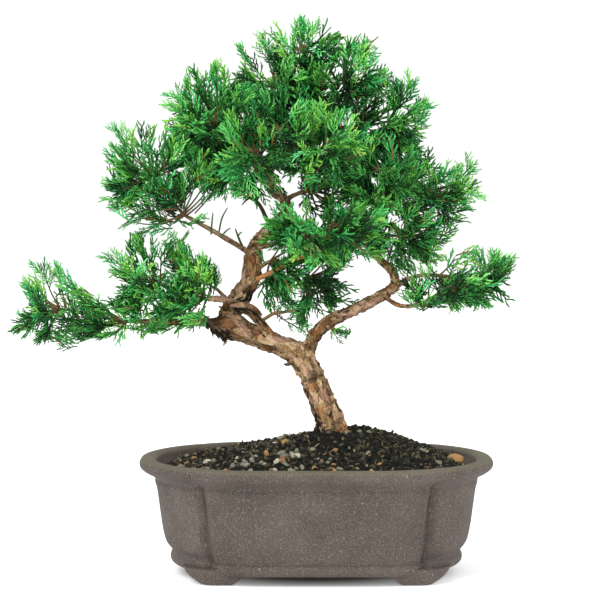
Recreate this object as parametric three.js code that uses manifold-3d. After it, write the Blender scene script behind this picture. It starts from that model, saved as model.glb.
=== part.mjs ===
// Chinese juniper bonsai in its lobed clay pot.
// Millimetres, +Z up. The front of the tree faces -Y, and places are measured from the middle
// of the pot at the level of its feet. At the end the whole plant is centred on its own box.
import * as THREE from "three";
import { mergeVertices } from "three/addons/utils/BufferGeometryUtils.js";
import Module from "manifold-3d";

const wasm = await Module();
wasm.setup();

// Driving sizes of the pot
const potWidth = 205;
const potDepth = 147;
const potHeight = 66.5;
const wall = 6;
const floorLevel = 12;
const cornerRadius = 70;
const cornerAngles = [0, 17, 34, 50, 58, 66, 77, 90];
const grooveAngle = 58;
const drainHoleRadius = 7;
const drainHoleOffset = 34;

// Driving sizes of the bracket feet, measured from the middle of the pot
const footTop = 8;
const footReachX = 76;
const footReachY = 52;
const footInnerX = 40;
const footInnerY = 25;
const footRound = 20;
const soleInsetX = 10;
const soleInsetY = 2.5;
const footBracket = 11;

// Driving sizes of the soil
const soilEdge = 61;
const soilInset = 13.4;
const soilGroove = 1.5;
const soilClear = 0.7;
const soilPeak = 84;
const soilPeakX = 27;
const soilPeakY = 10;
const soilRise = 0.78;

// Driving sizes of the wood
const groundCut = 75;
const gap = 0.3;

// Driving sizes of the foliage. Lengths called shares are shares of a mass's reach or of a
// spray's own length
const sprayShare = 1;
const sprayBreadth = 0.48;
const sprayThickness = 0.05;
const sprayJitter = 0.6;
const twigRadius = 1;
const twigSink = 0.45;
const twigTests = 6;
const stemRadius = 1.3;
const stemCollar = 2.5;
const stemSlots = 12;
const stemReach = 1.25;
const knotShare = 0.35;
const detour = 0.3;
const coreUneven = 0.2;
const coreRoot = 0.16;
const coreDroop = 0.14;
const coreJitter = 0.12;
const coreStep = 0.1;
const cellMargin = 0.25;
const borderSight = 1.15;
const limbClearance = 0.5;
const baseReach = 0.95;
const cornerReach = 1.12;
const flatUnderside = 0.85;
const outerFills = [[1, 0.8], [1, 0.3], [0.9, 0.6], [0.8, 0]];
const innerFills = [[0.65, 0.8], [0.65, 0.2]];
const coreFills = [[1, 1], [1, 0], [0.9, 1], [0.9, 0], [0.8, 0.5]];
const attemptsPerMass = 90;
const goldenShare = (Math.sqrt(5) - 1) / 2;
const azimuthStep = 2 * Math.PI * (Math.SQRT2 - 1);
const firstSeed = 4200;

const up = new THREE.Vector3(0, 0, 1);
const sideways = new THREE.Vector3(0.36, 0.8, 0.48);

// Finishes
const clay = new THREE.MeshStandardMaterial({ color: 0x6f615c, roughness: 0.85, metalness: 0 });
const earth = new THREE.MeshStandardMaterial({ color: 0x26221e, roughness: 1, metalness: 0 });
const bark = new THREE.MeshStandardMaterial({ color: 0x8f6a48, roughness: 0.9, metalness: 0 });
const green = new THREE.MeshStandardMaterial({ color: 0x2f7a35, roughness: 0.7, metalness: 0 });

const bonsai = new THREE.Group();
const container = new THREE.Group();
const wood = new THREE.Group();
const foliage = new THREE.Group();
bonsai.add(container, wood, foliage);

function vector(place) {
  return new THREE.Vector3(place[0], place[1], place[2]);
}

// A closed three.js geometry as a solid that can be joined and cut
function solidFrom(geometry) {
  geometry.deleteAttribute("normal");
  geometry.deleteAttribute("uv");
  const merged = mergeVertices(geometry, 1e-4);
  return new wasm.Manifold(new wasm.Mesh({
    numProp: 3,
    vertProperties: Float32Array.from(merged.attributes.position.array),
    triVerts: Uint32Array.from(merged.index.array),
  }));
}

// The largest body of a solid: loose scraps and the skins of sealed hollows are left behind
function largestBody(solid) {
  const bodies = solid.decompose();
  bodies.sort((a, b) => b.volume() - a.volume());
  return bodies[0];
}

function addPart(parent, name, solid, material) {
  const mesh = solid.getMesh();
  const geometry = new THREE.BufferGeometry();
  geometry.setAttribute("position", new THREE.BufferAttribute(mesh.vertProperties, 3));
  geometry.setIndex(new THREE.BufferAttribute(mesh.triVerts, 1));
  const part = new THREE.Mesh(geometry, material);
  part.name = name;
  parent.add(part);
}

// Seeded numbers from 0 to 1, the same on every run
function makeRandom(seed) {
  let state = seed;
  return () => {
    state = (Math.imul(state, 1664525) + 1013904223) >>> 0;
    return state / 4294967296;
  };
}

// The pot's plan: wide round corners with flat panels between them, and one groove in each
// corner, which parts the round ends of the pot from its front and back. Angles are in degrees
const stations = [];
for (let corner = 0; corner < 4; corner += 1) {
  const start = corner * 90;
  const middle = THREE.MathUtils.degToRad(start + 45);
  const cornerX = Math.sign(Math.cos(middle)) * (potWidth / 2 - cornerRadius);
  const cornerY = Math.sign(Math.sin(middle)) * (potDepth / 2 - cornerRadius);
  const turns = corner % 2 ? cornerAngles.map((turn) => 90 - turn).reverse() : cornerAngles;
  for (const turn of turns) {
    const fromX = corner % 2 ? 90 - turn : turn;
    const groove = fromX === grooveAngle ? 1 : 0;
    stations.push({ cornerX, cornerY, angle: THREE.MathUtils.degToRad(start + turn), groove });
  }
}

// The inside of the wall, from under the lip to the floor
const innerWall = [
  [10.5 + wall, 54],
  [15 + wall, 30],
  [22 + wall, floorLevel],
];

function planPoint(station, inset, groove) {
  const radius = cornerRadius - inset - groove * station.groove;
  const x = station.cornerX + radius * Math.cos(station.angle);
  const y = station.cornerY + radius * Math.sin(station.angle);
  return [x, y];
}

// A lathe turned once round the pot's plan. A profile row is [inset, height, groove, share]:
// share draws the row in towards the middle, and a share of 1 is the middle itself
function turnedOnPlan(rows, middle) {
  const profile = rows.map((row) => new THREE.Vector2(row[3] === 1 ? 0 : 1, row[1]));
  const geometry = new THREE.LatheGeometry(profile, stations.length);
  const position = geometry.attributes.position;
  for (let turn = 0; turn <= stations.length; turn += 1) {
    const station = stations[turn % stations.length];
    rows.forEach(([inset, height, groove, share], index) => {
      const [x, y] = planPoint(station, inset, groove);
      const drawnX = THREE.MathUtils.lerp(x, middle[0], share);
      const drawnY = THREE.MathUtils.lerp(y, middle[1], share);
      position.setXYZ(turn * rows.length + index, drawnX, drawnY, height);
    });
  }
  return solidFrom(geometry);
}

function makePot() {
  const rows = [
    [30, 5, 2, 1],
    [30, 5, 2, 0],
    [24, 5.6, 3, 0],
    [20.2, 6.6, 3, 0],
    [18.6, 9, 3.5, 0],
    [18.4, 12.4, 4, 0],
    [15.8, 18.8, 4.5, 0],
    [13.8, 27, 5, 0],
    [12.3, 38, 5, 0],
    [10.4, 50.5, 4.5, 0],
    [6.4, 56.8, 3.5, 0],
    [1.8, 60.2, 2.5, 0],
    [0, 64, 1.5, 0],
    [2, potHeight, 1.5, 0],
    [8, potHeight, 1.5, 0],
    [9.8, 64.5, 1.5, 0],
    ...innerWall.map(([inset, height]) => [inset, height, 0, 0]),
    [innerWall[2][0], floorLevel, 0, 1],
  ];
  let pot = turnedOnPlan(rows, [0, 0]);
  for (const side of [-1, 1]) {
    const hole = new THREE.CylinderGeometry(drainHoleRadius, drainHoleRadius, 3 * floorLevel, 12);
    hole.rotateX(Math.PI / 2);
    hole.translate(side * drainHoleOffset, 0, floorLevel);
    pot = pot.subtract(solidFrom(hole));
  }
  for (const sideX of [-1, 1]) {
    for (const sideY of [-1, 1]) {
      pot = pot.add(makeFoot(sideX, sideY));
    }
  }
  return largestBody(pot);
}

// Bracket foot under one corner, wide at the top, drawn in to a flat sole
function makeFoot(sideX, sideY) {
  const shape = new THREE.Shape();
  shape.moveTo(footInnerX, footInnerY);
  shape.lineTo(footReachX, footInnerY);
  shape.lineTo(footReachX, footReachY - footRound);
  shape.absarc(footReachX - footRound, footReachY - footRound, footRound, 0, Math.PI / 2);
  shape.lineTo(footInnerX, footReachY);
  const geometry = new THREE.ExtrudeGeometry(shape, {
    depth: footTop, steps: 2, bevelEnabled: false, curveSegments: 4,
  });
  const position = geometry.attributes.position;
  const middleX = (footReachX + footInnerX) / 2;
  const middleY = (footReachY + footInnerY) / 2;
  for (let index = 0; index < position.count; index += 1) {
    const drawn = (1 - position.getZ(index) / footTop) ** 1.8;
    const shareX = 1 - drawn * soleInsetX / (footReachX - middleX);
    const shareY = 1 - drawn * soleInsetY / (footReachY - middleY);
    position.setX(index, THREE.MathUtils.lerp(middleX, position.getX(index), shareX));
    position.setY(index, THREE.MathUtils.lerp(middleY, position.getY(index), shareY));
  }
  const inside = new THREE.BoxGeometry(footBracket, footBracket, 3 * footTop);
  inside.translate(footInnerX + footBracket / 2 - 1, footInnerY + footBracket / 2 - 1, 0);
  return solidFrom(geometry).subtract(solidFrom(inside)).scale([sideX, sideY, 1]);
}

// Soil: it fills the pot and rises in a mound to the trunk
function makeSoil(trunkFat) {
  const rows = [
    [innerWall[2][0], floorLevel + gap, 0, 1],
    [innerWall[2][0] + soilClear, floorLevel + gap, 0, 0],
    [innerWall[1][0] + soilClear, innerWall[1][1], 0, 0],
    [innerWall[0][0] + soilClear, innerWall[0][1], 0, 0],
  ];
  for (const share of [0, 0.12, 0.35, 0.6, 0.82, 1]) {
    const height = soilEdge + (soilPeak - soilEdge) * share ** soilRise;
    rows.push([soilInset, height, soilGroove, share]);
  }
  return largestBody(turnedOnPlan(rows, [soilPeakX, soilPeakY]).subtract(trunkFat));
}

// A limb: a tapered round tube on a smooth route, each route point being [x, y, z, radius]
const limbs = {};

function tube(route, sides, steps, extra) {
  const curve = new THREE.CatmullRomCurve3(route.map(vector), false, "centripetal");
  const frames = curve.computeFrenetFrames(steps, false);
  const geometry = new THREE.CylinderGeometry(1, 1, 1, sides, steps);
  const position = geometry.attributes.position;
  const spot = new THREE.Vector3();
  for (let index = 0; index < position.count; index += 1) {
    const step = Math.round((position.getY(index) + 0.5) * steps);
    const share = step / steps;
    const radius = radiusAt(route, curve, share) + extra;
    const across = position.getX(index) * radius;
    const beside = position.getZ(index) * radius;
    curve.getPointAt(share, spot);
    spot.addScaledVector(frames.normals[step], -across);
    spot.addScaledVector(frames.binormals[step], beside);
    const stretch = share === 0 ? -extra : share === 1 ? extra : 0;
    spot.addScaledVector(frames.tangents[step], stretch);
    position.setXYZ(index, spot.x, spot.y, spot.z);
  }
  return solidFrom(geometry);
}

function radiusAt(route, curve, share) {
  const along = curve.getUtoTmapping(share) * (route.length - 1);
  const before = Math.min(Math.floor(along), route.length - 2);
  return THREE.MathUtils.lerp(route[before][3], route[before + 1][3], along - before);
}

function makeLimb(name, route, sides, steps, parents) {
  let solid = tube(route, sides, steps, 0);
  for (const parent of parents) {
    solid = solid.subtract(limbs[parent].fat);
  }
  const curve = new THREE.CatmullRomCurve3(route.map(vector), false, "centripetal");
  limbs[name] = { route, curve, fat: tube(route, sides, steps, gap), body: largestBody(solid) };
}

// The line of the tree, foot to tip. Each limb is [x, y, z, radius] points
const routes = {
  trunk: [
    [10.5, 0, 62, 12],
    [9.8, 0, 76, 10.4],
    [9, 0, 84, 8.8],
    [3.2, 0, 99.6, 7.6],
    [-3.1, 1, 114.7, 7.3],
    [-9.5, 3, 127.5, 7.2],
  ],
  left_limb: [
    [-8.5, 3, 126, 6.8],
    [-23, 3, 132.5, 6],
    [-36, 3, 137.6, 6.2],
    [-46, 2, 141.5, 7.4],
    [-54.5, 1, 146, 8.4],
  ],
  leader_lower: [
    [-52, 2, 147, 6.4],
    [-46.5, 4, 156.8, 6],
    [-41.7, 4, 164.1, 5.4],
    [-37.8, 5, 171.5, 5.1],
    [-37, 5.5, 182, 5.1],
    [-35.2, 6.5, 190, 4.4],
    [-29.5, 6.5, 196.8, 3.9],
    [-23.5, 6, 203.3, 3.5],
    [-15.9, 4, 211.1, 3.1],
  ],
  leader_upper: [
    [-17.5, 4.3, 209.5, 3.1],
    [-18.9, 6, 216.9, 3],
    [-26.5, 10, 223.4, 2.7],
    [-28.3, 12, 231.6, 2.5],
    [-23, 12, 239.8, 2.3],
    [-11.8, 10, 247.4, 2.1],
    [-6.6, 8, 258.4, 1.9],
    [-7.2, 6, 271.7, 1.7],
    [-8.9, 5, 281, 1.4],
  ],
  right_limb_lower: [
    [-6, 2, 125, 4.4],
    [-1.9, 0, 135.9, 4.1],
    [5.6, -4, 144.9, 3.9],
    [19.5, -8, 152.1, 3.7],
    [36.7, -12, 161, 3.4],
    [46.5, -14, 167.5, 3],
  ],
  right_limb_upper: [
    [46, -14, 166.5, 2.9],
    [44, -12, 175.4, 2.5],
    [37.4, -8, 181.7, 2.3],
    [31.8, -3, 189.1, 2.2],
    [33.1, 2, 195.4, 2.1],
    [37.9, 6, 201.2, 2],
    [40.4, 10, 210.5, 1.7],
    [42.2, 12, 217.5, 1.4],
  ],
};

makeLimb("trunk", routes.trunk, 12, 10, []);
makeLimb("left_limb", routes.left_limb, 10, 6, ["trunk"]);
makeLimb("leader_lower", routes.leader_lower, 8, 12, ["left_limb"]);
makeLimb("leader_upper", routes.leader_upper, 8, 14, ["leader_lower"]);
makeLimb("right_limb_lower", routes.right_limb_lower, 8, 9, ["trunk", "left_limb"]);
makeLimb("right_limb_upper", routes.right_limb_upper, 8, 11, ["right_limb_lower"]);

// The trunk is cut flat at the level of the ground
const below = new THREE.BoxGeometry(potWidth, potDepth, groundCut);
below.translate(0, 0, groundCut / 2);
limbs.trunk.body = limbs.trunk.body.subtract(solidFrom(below));

// Each mass of foliage: its middle, how far it reaches, where its stem starts, the limb and the
// share of that limb's length that its bough leaves from, and the bough's rise and radii. A mass
// with no bough stands on the tip of the limb itself
const masses = [
  {
    name: "apex", middle: [-8, 0, 301], reach: [26, 26, 25], sprays: 12, core: 0.55,
    from: ["leader_upper", 1],
  },
  {
    name: "right_upper", middle: [63, -8, 220], reach: [33, 28, 24], sprays: 14, core: 0.55,
    from: ["right_limb_upper", 1],
  },
  {
    name: "low_left_tip", middle: [-144, -20, 154], reach: [36, 25, 25], sprays: 12,
    from: ["left_limb", 0.95], root: [-108, -17, 147], rise: 0, radii: [2.6, 1.3],
  },
  {
    name: "low_left", middle: [-90, -15, 168], reach: [36, 35, 35], sprays: 17, core: 0.55,
    from: ["left_limb", 0.31], root: [-63, -13, 160], rise: 8.5, radii: [3, 1.8],
  },
  {
    name: "left", middle: [-91, -18, 229], reach: [38, 27, 35], sprays: 12,
    from: ["leader_lower", 0.545], root: [-75, -15, 207.5], rise: 0.5, radii: [1.8, 1.1],
  },
  {
    name: "upper_left", middle: [-55, -6, 258], reach: [41, 32, 41], sprays: 16, core: 0.55,
    from: ["leader_upper", 0.25], root: [-40, 2, 240], rise: 1, radii: [1.9, 1.2],
  },
  {
    name: "left_front", middle: [-35, -32, 243], reach: [24, 24, 34], sprays: 11, core: 0.55,
    from: ["leader_upper", 0.38], root: [-32, -14, 240], rise: 1, radii: [1.5, 1.1],
  },
  {
    name: "apex_left", middle: [-22, -2, 280], reach: [31, 28, 25], sprays: 12, core: 0.55,
    from: ["leader_upper", 0.72], root: [-14, 3, 263], rise: 1, radii: [1.4, 1.1],
  },
  {
    name: "apex_front", middle: [-20, -30, 256], reach: [23, 22, 31], sprays: 8, core: 0.55,
    from: ["leader_upper", 0.64], root: [-13, -13, 255], rise: 1, radii: [1.4, 1.1],
  },
  {
    name: "apex_right", middle: [14, -4, 284], reach: [32, 27, 31], sprays: 12, core: 0.55,
    from: ["leader_upper", 0.82], root: [1, 1, 279], rise: 1, radii: [1.5, 1.1],
  },
  {
    name: "upper_right", middle: [40, 0, 262], reach: [27, 28, 33], sprays: 13, core: 0.55,
    from: ["leader_upper", 0.67], root: [23, 5, 259], rise: 2, radii: [1.6, 1.1],
  },
  {
    name: "front", middle: [4, -36, 247], reach: [27, 25, 28], sprays: 14, core: 0.55,
    from: ["leader_upper", 0.52], root: [-6, -15, 242], rise: 1, radii: [1.6, 1.1],
  },
  {
    name: "right_front", middle: [36, -30, 233], reach: [26, 22, 24], sprays: 10, core: 0.55,
    from: ["right_limb_upper", 0.92], root: [38, -9, 222], rise: 1, radii: [1.3, 1],
  },
  {
    name: "right_middle", middle: [50, -14, 198], reach: [32, 24, 26], sprays: 10, core: 0.5,
    from: ["right_limb_upper", 0.62], root: [40, 0, 202], rise: 1, radii: [1.5, 1.1],
  },
  {
    name: "middle", middle: [7, -34, 201], reach: [44, 27, 23], sprays: 13, core: 0.55,
    from: ["leader_lower", 0.6], root: [-8, -19, 198], rise: -1, radii: [1.6, 1.1],
  },
  {
    name: "middle_low", middle: [-5, 3, 173], reach: [36, 27, 35], sprays: 12, core: 0.45,
    from: ["leader_lower", 0.42], root: [-27, 2, 181], rise: 0, radii: [1.5, 1.1],
  },
  {
    name: "right_low_near", middle: [73, -36, 167], reach: [33, 20, 15], sprays: 8,
    from: ["right_limb_lower", 0.86], root: [59, -28, 158], rise: -4, radii: [1.6, 1.1],
  },
  {
    name: "right_low_far", middle: [91, -17, 172], reach: [30, 23, 19], sprays: 11, core: 0.45,
    from: ["right_limb_lower", 0.97], root: [69, -18, 173.5], rise: 3, radii: [1.6, 1.1],
  },
  {
    name: "sprig", middle: [17, -12, 140.5], reach: [12, 10, 9], sprays: 4,
    from: ["right_limb_lower", 0.3], root: [8, -10, 142.5], rise: 0, radii: [0.9, 0.8],
  },
  {
    name: "left_tuft", middle: [-59, -5, 175], reach: [11, 13, 13], sprays: 5,
    from: ["leader_lower", 0.12], root: [-57, -3, 164], rise: 0, radii: [1.3, 1.1],
  },
  {
    name: "back_left", middle: [-56, 36, 251], reach: [26, 25, 38], sprays: 10, core: 0.55,
    from: ["leader_upper", 0.22], root: [-41, 24, 241], rise: 2, radii: [1.7, 1.1],
  },
  {
    name: "back_top", middle: [-9, 32, 274], reach: [23, 22, 32], sprays: 8, core: 0.55,
    from: ["leader_upper", 0.74], root: [-9, 17, 268], rise: 1, radii: [1.4, 1.1],
  },
  {
    name: "back_middle", middle: [10, 40, 233], reach: [25, 25, 34], sprays: 10, core: 0.55,
    from: ["leader_upper", 0.08], root: [-5, 22, 222], rise: 1, radii: [1.7, 1.1],
  },
  {
    name: "back_right", middle: [44, 34, 232], reach: [33, 22, 27], sprays: 8, core: 0.55,
    from: ["right_limb_upper", 0.8], root: [38, 22, 220], rise: 1, radii: [1.4, 1.1],
  },
  {
    name: "back_low", middle: [4, 34, 192], reach: [23, 22, 17], sprays: 8, core: 0.5,
    from: ["right_limb_upper", 0.45], root: [19, 18, 195], rise: 0, radii: [1.4, 1.1],
  },
];

// A bough leaves its limb and runs to the foot of its mass in one easy bend
function makeBough(mass) {
  const [parent, share] = mass.from;
  const start = limbs[parent].curve.getPointAt(share);
  const end = vector(mass.root);
  const route = [0, 0.35, 0.7, 1].map((along) => {
    const point = start.clone().lerp(end, along);
    point.z += mass.rise * Math.sin(Math.PI * along);
    return [point.x, point.y, point.z, THREE.MathUtils.lerp(mass.radii[0], mass.radii[1], along)];
  });
  makeLimb(`bough_${mass.name}`, route, 5, 3, Object.keys(routes));
}

for (const mass of masses.filter((entry) => entry.root)) {
  makeBough(mass);
}

// A mass keeps to its own space: its reach round its middle, and its side of the flat border
// that lies between it and each neighbour
function makeBorders(mass) {
  const borders = [];
  for (const other of masses) {
    if (other === mass) {
      continue;
    }
    const own = vector(mass.middle);
    const across = vector(other.middle).sub(own);
    const apart = across.length();
    across.normalize();
    const ownReach = across.clone().multiply(vector(mass.reach)).length();
    const otherReach = across.clone().multiply(vector(other.reach)).length();
    if (apart < (ownReach + otherReach) * borderSight) {
      const distance = apart * ownReach / (ownReach + otherReach) - cellMargin;
      borders.push({ across, limit: across.dot(own) + distance });
    }
  }
  return borders;
}

function insideSpace(mass, point, extra) {
  return mass.borders.every((border) => border.across.dot(point) + extra < border.limit);
}

// All limbs as short straight lengths with the radius at each end
function limbLengths(limb) {
  const count = 12;
  const lengths = [];
  for (let index = 0; index < count; index += 1) {
    const share = (index + 0.5) / count;
    const from = limb.curve.getPointAt(index / count);
    const to = limb.curve.getPointAt((index + 1) / count);
    lengths.push({ line: new THREE.Line3(from, to), radius: radiusAt(limb.route, limb.curve, share) });
  }
  return lengths;
}

function clearOfLimbs(point, radius) {
  const nearest = new THREE.Vector3();
  return lengths.every((length) => {
    length.line.closestPointToPoint(point, true, nearest);
    return nearest.distanceTo(point) > length.radius + radius + limbClearance;
  });
}

// A stem: a three-sided length cut flat at both ends
function makeStem(from, to, radius) {
  const direction = to.clone().sub(from);
  const length = direction.length();
  const geometry = new THREE.CylinderGeometry(radius * 0.8, radius, length, 3, 1);
  geometry.translate(0, length / 2, 0);
  const turn = new THREE.Quaternion().setFromUnitVectors(new THREE.Vector3(0, 1, 0), direction.normalize());
  geometry.applyQuaternion(turn);
  geometry.translate(from.x, from.y, from.z);
  return solidFrom(geometry);
}

// A twig: a three-sided spike, its foot sunk in what it grows from and its point in its spray
function makeTwig(from, to, radius) {
  const direction = to.clone().sub(from).normalize();
  const beside = direction.clone().cross(sideways).normalize();
  const above = direction.clone().cross(beside);
  const spike = new THREE.TetrahedronGeometry(1);
  const position = spike.attributes.position;
  const corner = new THREE.Vector3();
  for (let index = 0; index < position.count; index += 1) {
    corner.fromBufferAttribute(position, index);
    if (corner.x > 0 && corner.y > 0) {
      corner.copy(to);
    } else {
      const angle = (corner.x > 0 ? 0 : corner.y > 0 ? 1 : 2) * 2 * Math.PI / 3;
      corner.copy(from).addScaledVector(beside, radius * Math.cos(angle));
      corner.addScaledVector(above, radius * Math.sin(angle));
    }
    position.setXYZ(index, corner.x, corner.y, corner.z);
  }
  return solidFrom(spike);
}

// A spray: four plumes of needles fanned out at a twig's end, as one toothed blade that is
// thickest on its rib. Its outline is [share of its length, share of its half breadth]
const sprayOutline = [
  [0, 0],
  [0.46, 1],
  [0.52, 0.46],
  [0.88, 0.62],
  [0.66, 0.12],
  [1, -0.2],
  [0.58, -0.42],
  [0.5, -1],
];
const sprayRib = 0.42;

// A point on a spray, from shares of its length, half breadth and half thickness
function sprayPoint(spray, along, beside, above) {
  const point = spray.base.clone().addScaledVector(spray.direction, along * spray.length);
  point.addScaledVector(spray.flat, beside * sprayBreadth * spray.length);
  return point.addScaledVector(spray.thick, above * sprayThickness * spray.length);
}

function makeSpray(spray) {
  const corners = sprayOutline.length;
  const blade = new THREE.SphereGeometry(1, corners, 2);
  const position = blade.attributes.position;
  for (let index = 0; index < position.count; index += 1) {
    const row = Math.floor(index / (corners + 1));
    const [along, beside] = row === 1 ? sprayOutline[index % (corners + 1) % corners] : [sprayRib, 0];
    const point = sprayPoint(spray, along, beside, row - 1);
    position.setXYZ(index, point.x, point.y, point.z);
  }
  return solidFrom(blade);
}

function insideReach(mass, point, share) {
  return point.clone().sub(vector(mass.middle)).divide(vector(mass.reach)).length() < share;
}

function sprayFits(mass, spray) {
  const corners = sprayOutline.map(([along, beside]) => sprayPoint(spray, along, beside, 0));
  const faces = [-1, 1].map((side) => sprayPoint(spray, sprayRib, 0, side));
  return insideReach(mass, spray.base, baseReach)
    && corners.every((corner) => insideReach(mass, corner, cornerReach))
    && [...corners, ...faces].every((point) => insideSpace(mass, point, 0));
}

function twigFits(mass, from, to) {
  for (let step = 1; step <= twigTests; step += 1) {
    const point = from.clone().lerp(to, step / twigTests);
    if (!insideSpace(mass, point, twigRadius) || !clearOfLimbs(point, twigRadius)) {
      return false;
    }
  }
  return true;
}

// A number from -0.5 to 0.5 along each axis
function shake(random) {
  return new THREE.Vector3(random() - 0.5, random() - 0.5, random() - 0.5);
}

// The tip of spray number attempt, spread evenly round the mass
function outwardTo(mass, attempt) {
  const height = 1 - 2 * ((attempt * goldenShare) % 1);
  const round = Math.sqrt(1 - height * height);
  const azimuth = attempt * azimuthStep;
  const outward = new THREE.Vector3(round * Math.cos(azimuth), round * Math.sin(azimuth), height);
  outward.multiply(vector(mass.reach));
  outward.z *= height < 0 ? flatUnderside : 1;
  return outward;
}

// A spray of an open mass leans outward and up, and a twig will meet its base
function openSpray(mass, heart, tip, lift, jitter, length) {
  const direction = tip.clone().sub(heart).normalize();
  direction.addScaledVector(up, lift).addScaledVector(jitter, sprayJitter).normalize();
  return { base: tip.clone().addScaledVector(direction, -length), direction, length };
}

// A spray of a dense mass starts inside the core and leans up to its tip
function coreSpray(mass, outward, tip, lift, jitter) {
  const base = vector(mass.middle).addScaledVector(outward, coreRoot);
  base.z -= lift * coreDroop * mass.reach[2];
  base.addScaledVector(jitter, coreJitter * mass.reach[2]);
  const direction = tip.clone().sub(base);
  const length = direction.length();
  return { base, direction: direction.normalize(), length, rooted: true };
}

// A spray that would leave the space, touch a limb or cross another spray is turned lower or
// drawn in, or else left out. Every fourth spray of an open mass sits deeper inside
function placeSprays(mass, heart, random) {
  const sprays = [];
  const size = sprayShare * (mass.reach[0] + mass.reach[1] + mass.reach[2]) / 3;
  for (let attempt = 1; attempt <= attemptsPerMass && sprays.length < mass.sprays; attempt += 1) {
    const outward = outwardTo(mass, attempt);
    const jitter = shake(random);
    const side = shake(random);
    const length = size * (0.8 + 0.35 * random());
    const openFills = attempt % 4 === 3 ? innerFills : outerFills;
    for (const [fill, lift] of mass.core ? coreFills : openFills) {
      const tip = vector(mass.middle).addScaledVector(outward, fill);
      const spray = mass.core
        ? coreSpray(mass, outward, tip, lift, jitter)
        : openSpray(mass, heart, tip, lift, jitter, length);
      spray.flat = spray.direction.clone().cross(side).normalize();
      spray.thick = spray.direction.clone().cross(spray.flat);
      if (sprayFits(mass, spray)) {
        spray.solid = makeSpray(spray);
        const others = [limbRoom, ...sprays.map((other) => other.solid)];
        if (others.every((other) => spray.solid.intersect(other).isEmpty())) {
          sprays.push(spray);
          break;
        }
      }
    }
  }
  return sprays;
}

// A dense mass has a small uneven core that its sprays stand out of. It is drawn in where it
// would leave the mass's own space, and cut clear of the limbs
function makeCore(mass, random) {
  const ball = new THREE.IcosahedronGeometry(1, 0);
  ball.deleteAttribute("normal");
  ball.deleteAttribute("uv");
  const core = mergeVertices(ball, 1e-4);
  const position = core.attributes.position;
  const middle = vector(mass.middle);
  const point = new THREE.Vector3();
  for (let index = 0; index < position.count; index += 1) {
    point.fromBufferAttribute(position, index).multiply(vector(mass.reach));
    point.multiplyScalar(mass.core * (1 - coreUneven * random())).add(middle);
    while (!insideSpace(mass, point, 0)) {
      point.lerp(middle, coreStep);
    }
    position.setXYZ(index, point.x, point.y, point.z);
  }
  return largestBody(solidFrom(core).subtract(limbRoom));
}

// The stem runs from the bough through the mass, and each spray's twig leaves the nearest free
// knot, which is a place on the stem or partway along a twig
function growMass(mass, seed) {
  const random = makeRandom(seed);
  const bough = limbs[mass.root ? `bough_${mass.name}` : mass.from[0]];
  const heading = bough.curve.getTangentAt(1);
  const root = bough.curve.getPointAt(1).addScaledVector(heading, gap);
  const collar = root.clone().addScaledVector(heading, stemCollar);
  const crown = collar.clone().lerp(vector(mass.middle), mass.core ? 1 : stemReach);
  const radius = Math.min(stemRadius, bough.route.at(-1)[3]);
  const solids = [makeStem(root, collar, radius)];
  solids.push(makeTwig(root.clone().lerp(collar, 0.6), crown, radius));
  if (mass.core) {
    solids.push(makeCore(mass, random));
  }
  const knots = [];
  for (let slot = 1; slot <= stemSlots; slot += 1) {
    knots.push({ point: collar.clone().lerp(crown, 0.9 * slot / stemSlots), radius: twigRadius });
  }
  const sprays = placeSprays(mass, collar.clone().lerp(crown, 0.5), random);
  sprays.sort((a, b) => a.base.distanceTo(crown) - b.base.distanceTo(crown));
  for (const spray of sprays) {
    if (spray.rooted) {
      solids.push(spray.solid);
      continue;
    }
    const reached = knots.filter((knot) => !knot.taken && twigFits(mass, knot.point, spray.base));
    if (reached.length > 0) {
      const away = (knot) => knot.point.distanceTo(spray.base) + detour * knot.point.distanceTo(root);
      reached.sort((a, b) => away(a) - away(b));
      const start = reached[0];
      const end = sprayPoint(spray, twigSink, 0, 0);
      start.taken = true;
      solids.push(makeTwig(start.point, end, start.radius));
      solids.push(spray.solid);
      knots.push({ point: start.point.clone().lerp(end, knotShare), radius: start.radius * 0.7 });
    }
  }
  return largestBody(wasm.Manifold.union(solids));
}

const lengths = Object.values(limbs).flatMap(limbLengths);
const limbRoom = wasm.Manifold.union(Object.values(limbs).map((limb) => limb.fat));
for (const mass of masses) {
  mass.borders = makeBorders(mass);
}
masses.forEach((mass, index) => {
  addPart(foliage, `foliage_${mass.name}`, growMass(mass, firstSeed + index), green);
});

addPart(container, "pot", makePot(), clay);
addPart(container, "soil", makeSoil(limbs.trunk.fat), earth);
for (const name of Object.keys(limbs)) {
  addPart(wood, name, limbs[name].body, bark);
}

// The whole plant is centred on its own box and stands on the level z = 0
const whole = new THREE.Box3().setFromObject(bonsai);
const centre = whole.getCenter(new THREE.Vector3());
bonsai.position.set(-centre.x, -centre.y, -whole.min.z);
bonsai.updateMatrixWorld(true);
export default bonsai;
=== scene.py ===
# %% [markdown]
# # A chinese juniper bonsai in its pot
# A bonsai is a real tree kept small. This one has a leaning trunk that forks low, two limbs
# that twist as they climb, open clouds of green needles, dark gritty soil, and a shallow pot
# of unglazed clay on four bracket feet. The solids of the part are loaded first. They fix the
# size and the place of everything, and each cell after that makes the fine version of one of
# them. Lengths are given in millimetres, measured from the middle of the pot at its feet.

# %% Load the solids
import math

import bmesh
import bpy
import numpy as np
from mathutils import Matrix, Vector, noise


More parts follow.
